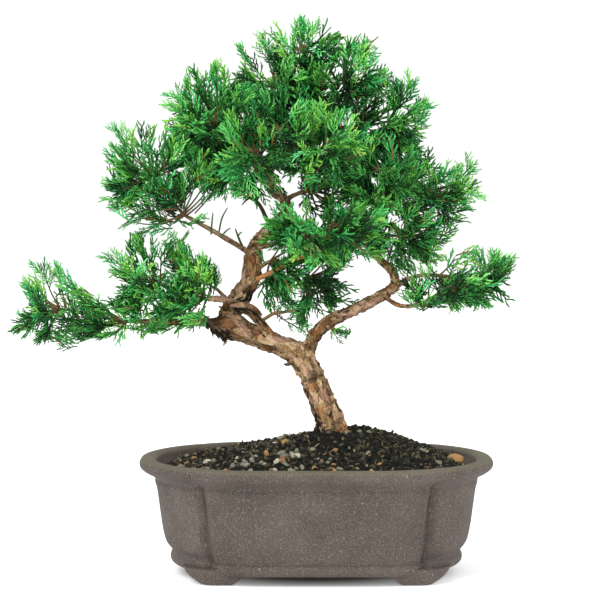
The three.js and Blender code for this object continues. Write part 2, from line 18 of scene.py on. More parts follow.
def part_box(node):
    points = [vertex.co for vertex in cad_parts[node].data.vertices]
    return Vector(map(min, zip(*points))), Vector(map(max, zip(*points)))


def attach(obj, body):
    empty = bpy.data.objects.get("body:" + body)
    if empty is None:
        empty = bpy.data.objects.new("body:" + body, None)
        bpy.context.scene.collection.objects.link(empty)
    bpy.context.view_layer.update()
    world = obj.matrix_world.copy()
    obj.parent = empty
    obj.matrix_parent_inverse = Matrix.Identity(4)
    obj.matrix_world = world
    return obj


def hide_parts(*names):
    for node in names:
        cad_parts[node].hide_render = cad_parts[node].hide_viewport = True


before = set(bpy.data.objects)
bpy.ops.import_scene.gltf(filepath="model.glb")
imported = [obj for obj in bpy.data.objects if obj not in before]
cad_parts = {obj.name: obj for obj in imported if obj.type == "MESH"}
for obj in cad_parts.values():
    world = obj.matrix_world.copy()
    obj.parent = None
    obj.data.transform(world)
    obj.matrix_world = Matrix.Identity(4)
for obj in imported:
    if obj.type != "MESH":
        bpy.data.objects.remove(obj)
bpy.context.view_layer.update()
MM = 0.001
pot_low, pot_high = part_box("pot")
POT_MIDDLE = np.array([(pot_low.x + pot_high.x) / 2, (pot_low.y + pot_high.y) / 2, pot_low.z])
print("nodes:", len(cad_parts), "pot middle at", POT_MIDDLE)


def placed(points):
    """Points in millimetres from the middle of the pot, as metres in the part's frame."""
    return np.asarray(points, float) * MM + POT_MIDDLE


# %% [markdown]
# ## The camera
# The lens and place were worked out from the pot: how far the front of the rim lies below its
# back gives the height of the camera, and the width of the pot gives the distance. A long lens
# from a step and a half away, looking a little down, gives the same flat view of the pot.

# %% Camera
CAMERA_DISTANCE = 1200.0
CAMERA_HEIGHT = 218.1
CAMERA_SIDE = -9.5
CAMERA_TILT = math.radians(2.845)
LENS = 123.6


def add_camera():
    place = placed([CAMERA_SIDE, -CAMERA_DISTANCE, CAMERA_HEIGHT])
    bpy.ops.object.camera_add(location=place, rotation=(math.pi / 2 - CAMERA_TILT, 0, 0))
    camera = bpy.context.object
    camera.data.lens = LENS
    camera.data.sensor_width = 36.0
    bpy.context.scene.camera = camera
    return camera


camera = add_camera()
print("camera at", tuple(round(value, 4) for value in camera.location))

# %% [markdown]
# ## Shader sums
# A material is a graph of nodes. Written as sums it reads like a recipe, so a small class wraps
# one output of a node: adding or multiplying two of them adds a Math node. Colours go through
# Mix nodes instead, because a Math node would turn them grey.


# %% Shader tools
class Wire:
    """One output socket of a node, ready to be used in a sum."""

    def __init__(self, finish, socket):
        self.finish = finish
        self.socket = socket

    def sum(self, operation, first, second):
        return self.finish.node("ShaderNodeMath", {"operation": operation}, {0: first, 1: second})

    def __add__(self, other):
        return self.sum("ADD", self, other)

    def __radd__(self, other):
        return self.sum("ADD", other, self)

    def __sub__(self, other):
        return self.sum("SUBTRACT", self, other)

    def __rsub__(self, other):
        return self.sum("SUBTRACT", other, self)

    def __mul__(self, other):
        return self.sum("MULTIPLY", self, other)

    def __rmul__(self, other):
        return self.sum("MULTIPLY", other, self)


def linear(red, green, blue):
    """A colour as it looks on screen, 0 to 255, turned into the light it stands for."""
    shares = np.array([red, green, blue]) / 255.0
    light = np.where(shares <= 0.04045, shares / 12.92, ((shares + 0.055) / 1.055) ** 2.4)
    return (*light.tolist(), 1.0)


class Finish:
    """One material and the tools that build its graph."""

    def __init__(self, name, roughness=0.8, gloss=0.3):
        self.material = bpy.data.materials.new(name)
        self.material.use_nodes = True
        self.tree = self.material.node_tree
        self.shader = self.tree.nodes["Principled BSDF"]
        self.shader.inputs["Roughness"].default_value = roughness
        self.shader.inputs["Specular IOR Level"].default_value = gloss

    def node(self, kind, settings=None, sockets=None, output=0):
        node = self.tree.nodes.new(kind)
        for name, value in (settings or {}).items():
            if name == "stops":
                self.set_stops(node.color_ramp, value)
            else:
                setattr(node, name, value)
        for key, value in (sockets or {}).items():
            if isinstance(value, Wire):
                self.tree.links.new(value.socket, node.inputs[key])
            else:
                node.inputs[key].default_value = value
        return Wire(self, node.outputs[output])

    def set_stops(self, ramp, stops):
        while len(ramp.elements) < len(stops):
            ramp.elements.new(0.5)
        for element, (place, colour) in zip(ramp.elements, stops):
            element.position = place
            element.color = linear(*colour)

    def ramp(self, value, stops):
        return self.node("ShaderNodeValToRGB", {"stops": stops}, {0: value})

    def step(self, value, low, high):
        """0 below low and 1 above high, with an even rise between."""
        sockets = {"Value": value, "From Min": low, "From Max": high}
        return self.node("ShaderNodeMapRange", {"interpolation_type": "SMOOTHSTEP"}, sockets)

    def mix(self, first, second, share):
        sockets = {0: share, 6: first, 7: second}
        return self.node("ShaderNodeMix", {"data_type": "RGBA"}, sockets, output=2)

    def tinted(self, wire, colour, share):
        """A share of one plain colour mixed in."""
        return self.mix(wire, linear(*colour), share)

    def place(self):
        return self.node("ShaderNodeTexCoord", output=3)

    def attribute(self, name, output=2):
        return self.node("ShaderNodeAttribute", {"attribute_name": name}, output=output)

    def vector(self, operation, first, second=(0, 0, 0), output=0):
        settings = {"operation": operation}
        return self.node("ShaderNodeVectorMath", settings, {0: first, 1: second}, output)

    def cloud(self, vector, scale, detail=2.0, roughness=0.5):
        sockets = {"Vector": vector, "Scale": scale, "Detail": detail, "Roughness": roughness}
        return self.node("ShaderNodeTexNoise", {}, sockets)

    def give(self, name, wire):
        self.tree.links.new(wire.socket, self.shader.inputs[name])

    def bump(self, height, distance, strength):
        sockets = {"Height": height, "Distance": distance, "Strength": strength}
        self.give("Normal", self.node("ShaderNodeBump", {}, sockets))


# %% [markdown]
# ## The bark's finish
# The bark of this tree is tan and stringy. It peels in long strips, so dark lines run along
# the limb between paler plates with pink and rusty patches. The mesh made below carries four
# attributes: the place round and along the limb, so that the grain follows every bend, the
# height of the relief, so that a darker colour lies down in the cracks, partly the bark's own
# and partly painted shade, the tone of each flake, and a painted shade on the undersides and
# at dark spots that are partly dark, flaky bark and partly painted shade.


# %% Bark
def make_bark():
    bark = Finish("bark_fibrous", roughness=0.88, gloss=0.2)
    grain = bark.attribute("grain", output=1)
    relief, tone, shade = [bark.attribute(name) for name in ("relief", "tone", "shade")]
    strings = bark.cloud(bark.vector("MULTIPLY", grain, (1.0, 1.0, 0.2)), 1.6, 4.0, 0.6)
    wrinkles = bark.cloud(bark.vector("MULTIPLY", grain, (0.3, 0.3, 1.2)), 1.1, 3.0, 0.6)
    patches = bark.cloud(bark.vector("MULTIPLY", grain, (1.0, 1.0, 0.6)), 0.13, 3.0)
    level = tone * 0.2 + strings * 0.75 + wrinkles * 0.5 + patches * 0.4 - 0.445
    colour = bark.ramp(level, [
        (0.20, (56, 44, 30)),
        (0.36, (108, 88, 60)),
        (0.50, (158, 132, 94)),
        (0.64, (198, 172, 134)),
        (0.80, (228, 208, 180)),
    ])
    pink = bark.tinted(colour, (196, 152, 132), bark.step(patches, 0.50, 0.62) * 0.5)
    rusty = bark.tinted(pink, (172, 112, 68), bark.step(patches, 0.49, 0.37) * 0.5)
    # Darker down in the cracks: partly the bark's own colour, partly painted shade.
    cracked = bark.tinted(rusty, (50, 40, 28), bark.step(relief, 0.6, 0.05) * 0.55)
    # Painted shade: near-black on the undersides and on the dark spots, which are partly dark bark.
    bark.give("Base Color", bark.tinted(cracked, (30, 25, 18), shade * 0.9))
    bark.bump(strings, 0.0006, 0.8)
    return bark.material


bark_finish = make_bark()

# %% [markdown]
# ## The lines of the limbs
# The tree is drawn as a few routes from foot to tip. Each point is a place and a radius, and a
# smooth curve runs through them: the same routes as the solids have, so the fine wood lies
# just where they lie. Each cloud of needles hangs on a bough that leaves one of these limbs.

# %% Routes
ROUTES = {
    "trunk": [
        (10.5, 0, 62, 12), (9.8, 0, 76, 10.4), (9, 0, 84, 8.8), (3.2, 0, 99.6, 7.6),
        (-3.1, 1, 114.7, 7.3), (-9.5, 3, 127.5, 7.2),
    ],
    "left_limb": [
        (-8.5, 3, 126, 6.8), (-23, 3, 132.5, 6), (-36, 3, 137.6, 6.2), (-46, 2, 141.5, 7.4),
        (-54.5, 1, 146, 8.4),
    ],
    "leader_lower": [
        (-52, 2, 147, 6.4), (-46.5, 4, 156.8, 6), (-41.7, 4, 164.1, 5.4), (-37.8, 5, 171.5, 5.1),
        (-37, 5.5, 182, 5.1), (-35.2, 6.5, 190, 4.4), (-29.5, 6.5, 196.8, 3.9),
        (-23.5, 6, 203.3, 3.5), (-15.9, 4, 211.1, 3.1),
    ],
    "leader_upper": [
        (-17.5, 4.3, 209.5, 3.1), (-18.9, 6, 216.9, 3), (-26.5, 10, 223.4, 2.7),
        (-28.3, 12, 231.6, 2.5), (-23, 12, 239.8, 2.3), (-11.8, 10, 247.4, 2.1),
        (-6.6, 8, 258.4, 1.9), (-7.2, 6, 271.7, 1.7), (-8.9, 5, 281, 1.4),
    ],
    "right_limb_lower": [
        (-6, 2, 125, 4.4), (-1.9, 0, 135.9, 4.1), (5.6, -4, 144.9, 3.9), (19.5, -8, 152.1, 3.7),
        (36.7, -12, 161, 3.4), (46.5, -14, 167.5, 3),
    ],
    "right_limb_upper": [
        (46, -14, 166.5, 2.9), (44, -12, 175.4, 2.5), (37.4, -8, 181.7, 2.3),
        (31.8, -3, 189.1, 2.2), (33.1, 2, 195.4, 2.1), (37.9, 6, 201.2, 2), (40.4, 10, 210.5, 1.7),
        (42.2, 12, 217.5, 1.4),
    ],
}


def smooth_line(route, steps=8):
    """Places and radii on the smooth curve through a route."""
    knots = np.array(route, float)
    places = knots[:, :3]
    ends = np.vstack([2 * places[0] - places[1], places, 2 * places[-1] - places[-2]])
    rows = []
    for index in range(len(places) - 1):
        before, start, end, after = ends[index:index + 4]
        first, middle, last = (
            math.sqrt(np.linalg.norm(b - a)) for a, b in ((before, start), (start, end), (end, after))
        )
        leave = (start - before) / first - (end - before) / (first + middle) + (end - start) / middle
        arrive = (end - start) / middle - (after - start) / (middle + last) + (after - end) / last
        leave, arrive = leave * middle, arrive * middle
        for step in range(steps + (index == len(places) - 2)):
            t = step / steps
            cubic = 2 * (start - end) + leave + arrive
            square = 3 * (end - start) - 2 * leave - arrive
            place = cubic * t ** 3 + square * t ** 2 + leave * t + start
            radius = knots[index, 3] * (1 - t) + knots[index + 1, 3] * t
            rows.append([*place, radius])
    return np.array(rows)


def length_along(line):
    """How far along the line each of its points lies."""
    steps = np.linalg.norm(np.diff(line[:, :3], axis=0), axis=1)
    return np.concatenate([[0], np.cumsum(steps)])


def line_at(line, share):
    """The row of a line at a share of its length."""
    along = length_along(line)
    return np.array([np.interp(share * along[-1], along, line[:, axis]) for axis in range(4)])


limb_lines = {name: smooth_line(route) for name, route in ROUTES.items()}
print("limbs:", len(limb_lines), "rows:", sum(len(line) for line in limb_lines.values()))

# %% [markdown]
# ## The clouds of needles
# Each mass of foliage keeps to an egg-shaped space of its own. The list gives its middle, its
# reach along X, Y and Z, the limb and the share of its length that the bough leaves from, the
# place where the bough ends, how much the bough arches, and its radius at both ends. The first
# two have no bough and sit on the tip of their limb.

# %% Masses
MASSES = {
    "apex": ((-8, 0, 301), (26, 26, 25), "leader_upper"),
    "right_upper": ((63, -8, 220), (33, 28, 24), "right_limb_upper"),
    "low_left_tip": ((-144, -20, 154), (36, 25, 25), "left_limb", 0.95, (-108, -17, 147), 0, (2.6, 1.3)),
    "low_left": ((-90, -15, 168), (36, 35, 35), "left_limb", 0.31, (-63, -13, 160), 8.5, (3, 1.8)),
    "left": ((-91, -18, 229), (38, 27, 35), "leader_lower", 0.545, (-75, -15, 207.5), 0.5, (1.8, 1.1)),
    "upper_left": ((-55, -6, 258), (41, 32, 41), "leader_upper", 0.25, (-40, 2, 240), 1, (1.9, 1.2)),
    "left_front": ((-35, -32, 243), (24, 24, 34), "leader_upper", 0.38, (-32, -14, 240), 1, (1.5, 1.1)),
    "apex_left": ((-22, -2, 280), (31, 28, 25), "leader_upper", 0.72, (-14, 3, 263), 1, (1.4, 1.1)),
    "apex_front": ((-20, -30, 256), (23, 22, 31), "leader_upper", 0.64, (-13, -13, 255), 1, (1.4, 1.1)),
    "apex_right": ((14, -4, 284), (32, 27, 31), "leader_upper", 0.82, (1, 1, 279), 1, (1.5, 1.1)),
    "upper_right": ((40, 0, 262), (27, 28, 33), "leader_upper", 0.67, (23, 5, 259), 2, (1.6, 1.1)),
    "front": ((4, -36, 247), (27, 25, 28), "leader_upper", 0.52, (-6, -15, 242), 1, (1.6, 1.1)),
    "right_front": ((36, -30, 233), (26, 22, 24), "right_limb_upper", 0.92, (38, -9, 222), 1, (1.3, 1)),
    "right_middle": ((50, -14, 198), (32, 24, 26), "right_limb_upper", 0.62, (40, 0, 202), 1, (1.5, 1.1)),
    "middle": ((7, -34, 201), (44, 27, 23), "leader_lower", 0.6, (-8, -19, 198), -1, (1.6, 1.1)),
    "middle_low": ((-5, 3, 173), (36, 27, 35), "leader_lower", 0.42, (-27, 2, 181), 0, (1.5, 1.1)),
    "right_low_near": (
        (73, -36, 167), (33, 20, 15), "right_limb_lower", 0.86, (59, -28, 158), -4, (1.6, 1.1),
    ),
    "right_low_far": (
        (91, -17, 172), (30, 23, 19), "right_limb_lower", 0.97, (69, -18, 173.5), 3, (1.6, 1.1),
    ),
    "sprig": ((17, -12, 140.5), (12, 10, 9), "right_limb_lower", 0.3, (8, -10, 142.5), 0, (0.9, 0.8)),
    "left_tuft": ((-59, -5, 175), (11, 13, 13), "leader_lower", 0.12, (-57, -3, 164), 0, (1.3, 1.1)),
    "back_left": ((-56, 36, 251), (26, 25, 38), "leader_upper", 0.22, (-41, 24, 241), 2, (1.7, 1.1)),
    "back_top": ((-9, 32, 274), (23, 22, 32), "leader_upper", 0.74, (-9, 17, 268), 1, (1.4, 1.1)),
    "back_middle": ((10, 40, 233), (25, 25, 34), "leader_upper", 0.08, (-5, 22, 222), 1, (1.7, 1.1)),
    "back_right": ((44, 34, 232), (33, 22, 27), "right_limb_upper", 0.8, (38, 22, 220), 1, (1.4, 1.1)),
    "back_low": ((4, 34, 192), (23, 22, 17), "right_limb_upper", 0.45, (19, 18, 195), 0, (1.4, 1.1)),
}


def bough_line(limb, share, end, rise, radii):
    start = line_at(limb_lines[limb], share)[:3]
    route = []
    for along in (0, 0.35, 0.7, 1):
        place = start + (np.array(end, float) - start) * along
        place[2] += rise * math.sin(math.pi * along)
        route.append([*place, radii[0] + (radii[1] - radii[0]) * along])
    return smooth_line(route)


bough_lines = {
    name: bough_line(*mass[2:]) for name, mass in MASSES.items() if len(mass) > 3
}
wood_lines = {**limb_lines, **{f"bough_{name}": line for name, line in bough_lines.items()}}
print("masses:", len(MASSES), "boughs:", len(bough_lines))

# %% [markdown]
# ## Making one mesh from many small shapes
# Thousands of needles would be slow as separate objects. Their corners and faces are gathered
# in arrays instead and become one mesh. Each face also keeps the number of its colour, which
# is its place in the list of the mesh's materials.


# %% Mesh tools
def piece_from(name, points, faces, materials, colours, smooth=True):
    mesh = bpy.data.meshes.new(name)
    mesh.from_pydata(np.asarray(points).tolist(), [], [list(face) for face in faces])
    for material in materials:
        mesh.materials.append(material)
    mesh.polygons.foreach_set("material_index", np.asarray(colours, np.int32))
    mesh.polygons.foreach_set("use_smooth", np.full(len(mesh.polygons), smooth))
    mesh.update()
    piece = bpy.data.objects.new(name, mesh)
    bpy.context.scene.collection.objects.link(piece)
    return piece


def only(*pieces):
    """Select nothing but these pieces, and make the last one active."""
    bpy.ops.object.select_all(action="DESELECT")
    for piece in pieces:
        piece.select_set(True)
        bpy.context.view_layer.objects.active = piece


def unit(vectors):
    vectors = np.asarray(vectors, float)
    return vectors / np.maximum(np.linalg.norm(vectors, axis=-1, keepdims=True), 1e-9)


def frames_along(places):
    """Two directions across a line at each of its points, turned as little as can be."""
    heading = unit(np.gradient(places, axis=0))
    across = np.empty_like(heading)
    seed = (0, 0, 1) if abs(heading[0, 2]) < 0.8 else (1, 0, 0)
    across[0] = unit(np.cross(heading[0], seed))
    for index in range(1, len(places)):
        turned = across[index - 1] - heading[index] * np.dot(across[index - 1], heading[index])
        across[index] = unit(turned)
    return across, np.cross(heading, across)


def tube(places, radii, sides=3):
    """A tapered tube round a line, closed flat at its foot and to a point at its tip."""
    places = np.asarray(places, float)
    across, above = frames_along(places)
    turns = np.arange(sides) * 2 * math.pi / sides
    rings = [
        places[index] + radii[index] * (
            np.cos(turns)[:, None] * across[index] + np.sin(turns)[:, None] * above[index]
        )
        for index in range(len(places) - 1)
    ]
    points = np.vstack([*rings, places[-1:]])
    faces = [(0, side + 1, side) for side in range(1, sides - 1)]
    for ring in range(len(rings) - 1):
        for side in range(sides):
            low, next_low = ring * sides + side, ring * sides + (side + 1) % sides
            faces.append((low, next_low, next_low + sides))
            faces.append((low, next_low + sides, low + sides))
    last = (len(rings) - 1) * sides
    for side in range(sides):
        faces.append((last + side, last + (side + 1) % sides, len(points) - 1))
    return points, np.array(faces)


# %% [markdown]
# ## One plume of needles
# Up close, the green of this juniper is no needle at all but a cord, about a millimetre thick,
# clad in tiny scales. Cords stand along both sides of a curved twiglet like the teeth of a
# comb, and each carries shorter ones. Such a plume is made once, in a few variants that are one
# unit long, and then copied thousands of times. The faces know which part of the plume they
# are on: the inside is dark and old, the tips are fresh.

# %% Plume
PLUME_VARIANTS = 8
PLUME_CORDS = 8
CORD_RADIUS = 0.031
CORD_OPENING = (26, 44)
SPURS = ((0.4, 0.55), (0.68, -0.5))
SPUR_LENGTH = (0.32, 0.46)
INNER, OUTER, TIP = 0, 1, 2
numbers = np.random.default_rng(4200)


def joined(parts):
    """Several shapes as one: their points, faces, and a number kept for each face."""
    points, faces, marks, count = [], [], [], 0
    for part_points, part_faces, mark in parts:
        points.append(part_points)
        faces.append(part_faces + count)
        marks.append(np.broadcast_to(mark, len(part_faces)))
        count += len(part_points)
    return np.vstack(points), np.vstack(faces), np.concatenate(marks)


def cord(start, heading, length, side):
    """One side cord, which bends towards the plume's tip, with two shorter ones on it."""
    forward = np.array([0.4, -0.15 * side, 0.1])
    middle = start + heading * length * 0.5
    end = middle + unit(heading + forward) * length * 0.5
    shoulder = middle + (end - middle) * 0.75
    radii = CORD_RADIUS * np.array([0.8, 1, 0.8, 0])
    parts = [(*tube([start, middle, shoulder, end], radii), OUTER)]
    for share, turn in SPURS:
        foot = start + heading * length * share
        lean = unit(heading + np.array([0.3, turn * side, numbers.uniform(-0.1, 0.3)]))
        spur_end = foot + lean * length * numbers.uniform(*SPUR_LENGTH)
        parts.append((*tube([foot, spur_end], CORD_RADIUS * np.array([1.05, 0])), TIP))
    return parts


def plume_variant():
    bend = numbers.uniform(0.06, 0.2)
    sway = numbers.uniform(-0.08, 0.08)
    shares = np.linspace(0, 1, 6)
    axis = np.column_stack([shares, sway * np.sin(shares * math.pi), bend * shares ** 2])
    parts = [(*tube(axis, CORD_RADIUS * np.array([1.2, 1.1, 1, 0.9, 0.8, 0])), INNER)]
    for number in range(PLUME_CORDS):
        side = 1 if number % 2 else -1
        share = 0.12 + 0.8 * (number + 0.5) / PLUME_CORDS
        start = np.array([share, sway * math.sin(share * math.pi), bend * share ** 2])
        length = (0.55 - 0.27 * share) * numbers.uniform(0.75, 1.25)
        opening = math.radians(numbers.uniform(*CORD_OPENING))
        roll = numbers.uniform(-0.8, 0.8)
        heading = np.array([
            math.cos(opening),
            side * math.sin(opening) * math.cos(roll),
            math.sin(opening) * math.sin(roll) + 0.08,
        ])
        parts += cord(start, heading, length, side)
    return joined(parts)


plumes = [plume_variant() for _ in range(PLUME_VARIANTS)]
print("faces in one plume:", len(plumes[0][1]))

# %% [markdown]
# ## Sky, shoots and sprigs
# What makes a crown look alive is its edge and the gaps in it. Each gap where the sky shows is
# an ellipse seen from the front: its middle, its half width and half height. A few long shoots
# stand out beyond the rest, each given by its tip, and a few sprigs follow a line of their own.

# %% Gaps, shoots and sprigs
SKY_GAPS = [
    (-42, 204, 11, 14), (-14, 222, 3.5, 4.5), (31, 174, 14, 10), (-70, 215, 5, 9),
    (-48, 181, 5.5, 17), (-33, 159, 5, 7), (-19, 140, 9, 5), (-120, 188, 9, 8), (-122, 168, 8, 10),
    (-101, 203, 11, 4), (-72, 192, 5, 6), (118, 165, 6, 9), (-50, 190, 8, 7), (-174, 161, 8, 12),
    (97, 213, 6, 14), (-85, 283, 8, 8), (-128, 229, 6, 16), (-130, 134, 12, 4), (-84, 135, 20, 5),
    (118, 176, 5, 6), (-40.2, 147.2, 6, 3.2),
]
SHOOTS = {
    "left": [(-116, -22, 261), (-123, -22, 226)],
    "upper_left": [(-58, -6, 297), (-84, -8, 280)],
    "apex_left": [(-46, -4, 307), (-31, -6, 313)],
    "apex": [(-9, 0, 318), (-2, -2, 317)],
    "apex_right": [(32, -2, 309)],
    "upper_right": [(55, 0, 287), (66, 2, 274)],
    "right_upper": [(91, -8, 238), (94, -10, 225)],
    "right_low_far": [
        (112, -18, 182), (104, -16, 183), (98, -16, 181), (60, -16, 186), (95, -26, 154),
        (84, -26, 155),
    ],
    "low_left_tip": [
        (-168, -20, 170), (-158, -20, 181), (-148, -16, 180), (-114, -18, 143), (-173, -20, 145),
        (-160, -20, 135),
    ],
    "low_left": [(-121, -16, 187), (-104, -18, 196), (-98, -18, 142), (-79, -14, 192)],
}
SPRIGS = {
    "middle_low": [
        [(-29.2, -6, 148.9), (-24, -8, 151.3), (-18.2, -10, 152), (-9.5, -10, 154.3)],
        [(-24, -8, 151.3), (-19, -8, 147.5), (-12, -8, 143.5), (-6, -8, 140)],
    ],
    "left": [
        [(-70, -14, 209), (-62, -14, 218), (-58, -14, 224)],
        [(-84, -16, 210), (-92, -18, 202), (-102, -18, 197)],
        [(-92, -18, 206), (-101, -20, 206), (-111, -20, 203)],
    ],
}


def in_sky(point):
    return any(
        ((point[0] - x) / wide) ** 2 + ((point[2] - z) / high) ** 2 < 1
        for x, z, wide, high in SKY_GAPS
    )


print("gaps:", len(SKY_GAPS), "shoots:", sum(map(len, SHOOTS.values())))

# %% [markdown]
# ## Where the plumes go
# The rule is that of the solids, taken further. A stem runs on from the bough's end into its
# mass. Branchlets leave it for places spread evenly round the edge of the mass, and bend up a
# little on their way. Each carries plumes on both sides, like a feather, and one at its tip. A
# plume that would leave its own mass's space, run into a limb or close a gap is left out.

# %% Rule of growth
GOLDEN = (math.sqrt(5) - 1) / 2
AZIMUTH_STEP = 2 * math.pi * (math.sqrt(2) - 1)
FLAT_UNDERSIDE = 0.9
BORDER_SIGHT = 1.15
BORDER_OVERLAP = 6.0
OWN_REACH = 0.98
LIMB_CLEARANCE = 1.5
STEM_COLLAR = 2.5
STEM_REACH = 1.35
STEM_RADII = (1.2, 1.1, 0.8, 0.4)
BRANCHLET_AREA = 335.0
BRANCHLET_SAG = 0.1
BRANCHLET_RADII = (0.7, 0.5, 0.3)
FILLS = (1.0, 0.92, 1.02, 0.7, 0.96, 0.98, 0.55, 0.9)
FILL_MEAN = 0.85
PLUME_SHARES = np.linspace(0.3, 1, 9)
PLUME_LENGTH = (11.5, 19.0)
PLUME_OPENING = 0.66
PLUME_LIFT = 0.22
PLUME_SWAY = 0.14
FULL_SIZE = 22
TINT_MEAN = 1.2
TINT_SWING = 1.6
TINT_WAVES = 0.045
# Painted shade and light: sprays deep in their mass are darker, those near its edge and in its upper half
# lighter.
PAINTED_LIGHT_OUTWARD = 2.6
PAINTED_LIGHT_ABOVE = 0.5
TINT_SPREAD = 0.4
SHOOT = {"shares": [*np.linspace(0.45, 0.8, 7), 1], "scale": 0.7, "tint": 2.4}
SPRIG = {"shares": np.linspace(0.3, 1, 7), "scale": 0.5, "tint": 1.6}
SPRIG_RADIUS = 0.5


def borders_of(name):
    """The flat borders of a mass's own space, one towards each neighbour."""
    middle, reach = (np.array(MASSES[name][index], float) for index in (0, 1))
    borders = []
    for other, mass in MASSES.items():
        if other == name:
            continue
        across = np.array(mass[0], float) - middle
        apart = np.linalg.norm(across)
        across = across / apart
        own_reach = np.linalg.norm(across * reach)
        other_reach = np.linalg.norm(across * np.array(mass[1], float))
        if apart < (own_reach + other_reach) * BORDER_SIGHT:
            share = own_reach / (own_reach + other_reach)
            borders.append((across, across @ middle + apart * share + BORDER_OVERLAP))
    return borders


wood_samples = np.vstack([
    line[np.linspace(0, len(line) - 1, 40).astype(int)] for line in wood_lines.values()
])


def clear_of_wood(point):
    away = np.linalg.norm(wood_samples[:, :3] - point, axis=1)
    return np.all(away > wood_samples[:, 3] + LIMB_CLEARANCE)


def outward_to(reach, attempt):
    """A place on the edge of a mass, from its middle. The places lie evenly all round."""
    height = 1 - 2 * ((attempt * GOLDEN) % 1)
    around = math.sqrt(1 - height * height)
    azimuth = attempt * AZIMUTH_STEP
    outward = np.array([around * math.cos(azimuth), around * math.sin(azimuth), height]) * reach
    outward[2] *= FLAT_UNDERSIDE if height < 0 else 1
    return outward


def line_through(places, radii, steps):
    return smooth_line([(*place, radius) for place, radius in zip(places, radii)], steps)


def branchlet(stem, tip):
    """A curved line from the stem to a tip. It sets off flat and bends up on its way."""
    gaps = np.linalg.norm(stem[:, :3] - tip, axis=1)
    start = stem[max(0, int(np.argmin(gaps)) - 3), :3]
    straight = tip - start
    bend = start + 0.5 * straight - (0, 0, BRANCHLET_SAG * np.linalg.norm(straight))
    return line_through((start, bend, tip), BRANCHLET_RADII, 5)


def plumes_on(line, shares, scale, tint, allowed):
    """The plumes of one branchlet: foot, direction, side, length and tint."""
    found = []
    spin = unit(numbers.normal(0, 1, 3))
    for number, share in enumerate(shares):
        foot = line_at(line, share)[:3]
        heading = unit(line_at(line, min(1, share + 0.1))[:3] - line_at(line, share - 0.1)[:3])
        across = unit(np.cross(heading, spin))
        opening = 0 if share == 1 else PLUME_OPENING * numbers.uniform(0.7, 1.3)
        lean = heading * math.cos(opening)
        lean = lean + across * math.sin(opening) * (-1) ** number + (0, 0, PLUME_LIFT)
        direction = unit(lean + PLUME_SWAY * numbers.normal(0, 1, 3))
        length = numbers.uniform(*PLUME_LENGTH) * (1.1 - 0.3 * share) * scale
        if share == 1:
            foot = foot - direction * length
        tip = foot + direction * length
        if allowed((foot + tip) / 2) and allowed(tip):
            side = unit(np.cross(direction, spin + 0.5 * numbers.normal(0, 1, 3)))
            found.append((foot, direction, side, length, tint + numbers.normal(0, 0.5)))
    return found


def trimmed(line, foot):
    """A line cut off where it is nearest to a foot."""
    last = np.argmin(np.linalg.norm(line[:, :3] - foot, axis=1))
    return line[:max(last, 1) + 1]


def stem_of(mass, limb):
    """The stem of a mass, on from the end of its bough or limb and through its middle."""
    root = limb[-1, :3]
    collar = root + unit(root - limb[-3, :3]) * STEM_COLLAR
    middle = np.array(mass[0], float)
    crown = collar + (middle - collar) * STEM_REACH
    return line_through((root, collar, middle, crown), STEM_RADII, 4)


def grow_mass(name):
    """The twigs and the plumes of one mass."""
    mass = MASSES[name]
    middle, reach = np.array(mass[0], float), np.array(mass[1], float)
    stem = stem_of(mass, wood_lines.get(f"bough_{name}", wood_lines[mass[2]]))
    twigs, found = [stem], []
    borders = borders_of(name)
    size = float(np.mean(reach))
    scale = min(1, size / FULL_SIZE)

    def allowed(point):
        within = np.linalg.norm((point - middle) / reach) < OWN_REACH
        inside = all(across @ point < limit for across, limit in borders)
        return within and inside and clear_of_wood(point) and not in_sky(point)

    branchlets = max(6, round(4 * math.pi * size ** 2 / BRANCHLET_AREA))
    for attempt in range(1, branchlets + 1):
        fill = FILLS[attempt % len(FILLS)]
        tip = middle + outward_to(reach, attempt) * fill
        line = branchlet(stem, tip)
        tint = TINT_MEAN + TINT_SWING * noise.noise(Vector(tip * TINT_WAVES))
        # Painted shade inside the mass, and painted light on its edge and upper half.
        tint += PAINTED_LIGHT_OUTWARD * (fill - FILL_MEAN)
        tint += PAINTED_LIGHT_ABOVE * (tip[2] > middle[2]) + numbers.normal(0, TINT_SPREAD)
        plumes_here = plumes_on(line, PLUME_SHARES, scale, tint, allowed)
        if plumes_here:
            twigs.append(trimmed(line, plumes_here[-1][0]))
            found += plumes_here
    extra = [(branchlet(stem, np.array(tip, float)), SHOOT) for tip in SHOOTS.get(name, [])]
    for route in SPRIGS.get(name, []):
        extra.append((line_through(route, [SPRIG_RADIUS] * len(route), 5), SPRIG))
    for line, kind in extra:
        twigs.append(line)
        found += plumes_on(line, allowed=lambda point: True, **kind)
    return twigs, found


grown = {name: grow_mass(name) for name in MASSES}
plume_count = sum(len(found) for _, found in grown.values())
print("plumes:", plume_count, "faces:", plume_count * len(plumes[0][1]))

# %% [markdown]
# ## The greens
# Each spray takes one of a few plain greens, from the near-black of the inside to the yellow of
# new tips, in a cool, a plain or a warm hue. The near-black inside is painted shade: sprays are
# darker the deeper they lie in their mass, and lighter near its edge and in its upper half, as
# painted light. Within a spray the inner cord is a step darker and the tips a step lighter, as
# new growth is on the living tree. Some inner cords have already turned to brown twigs. The
# sprays of each part of the crown are joined into one piece.

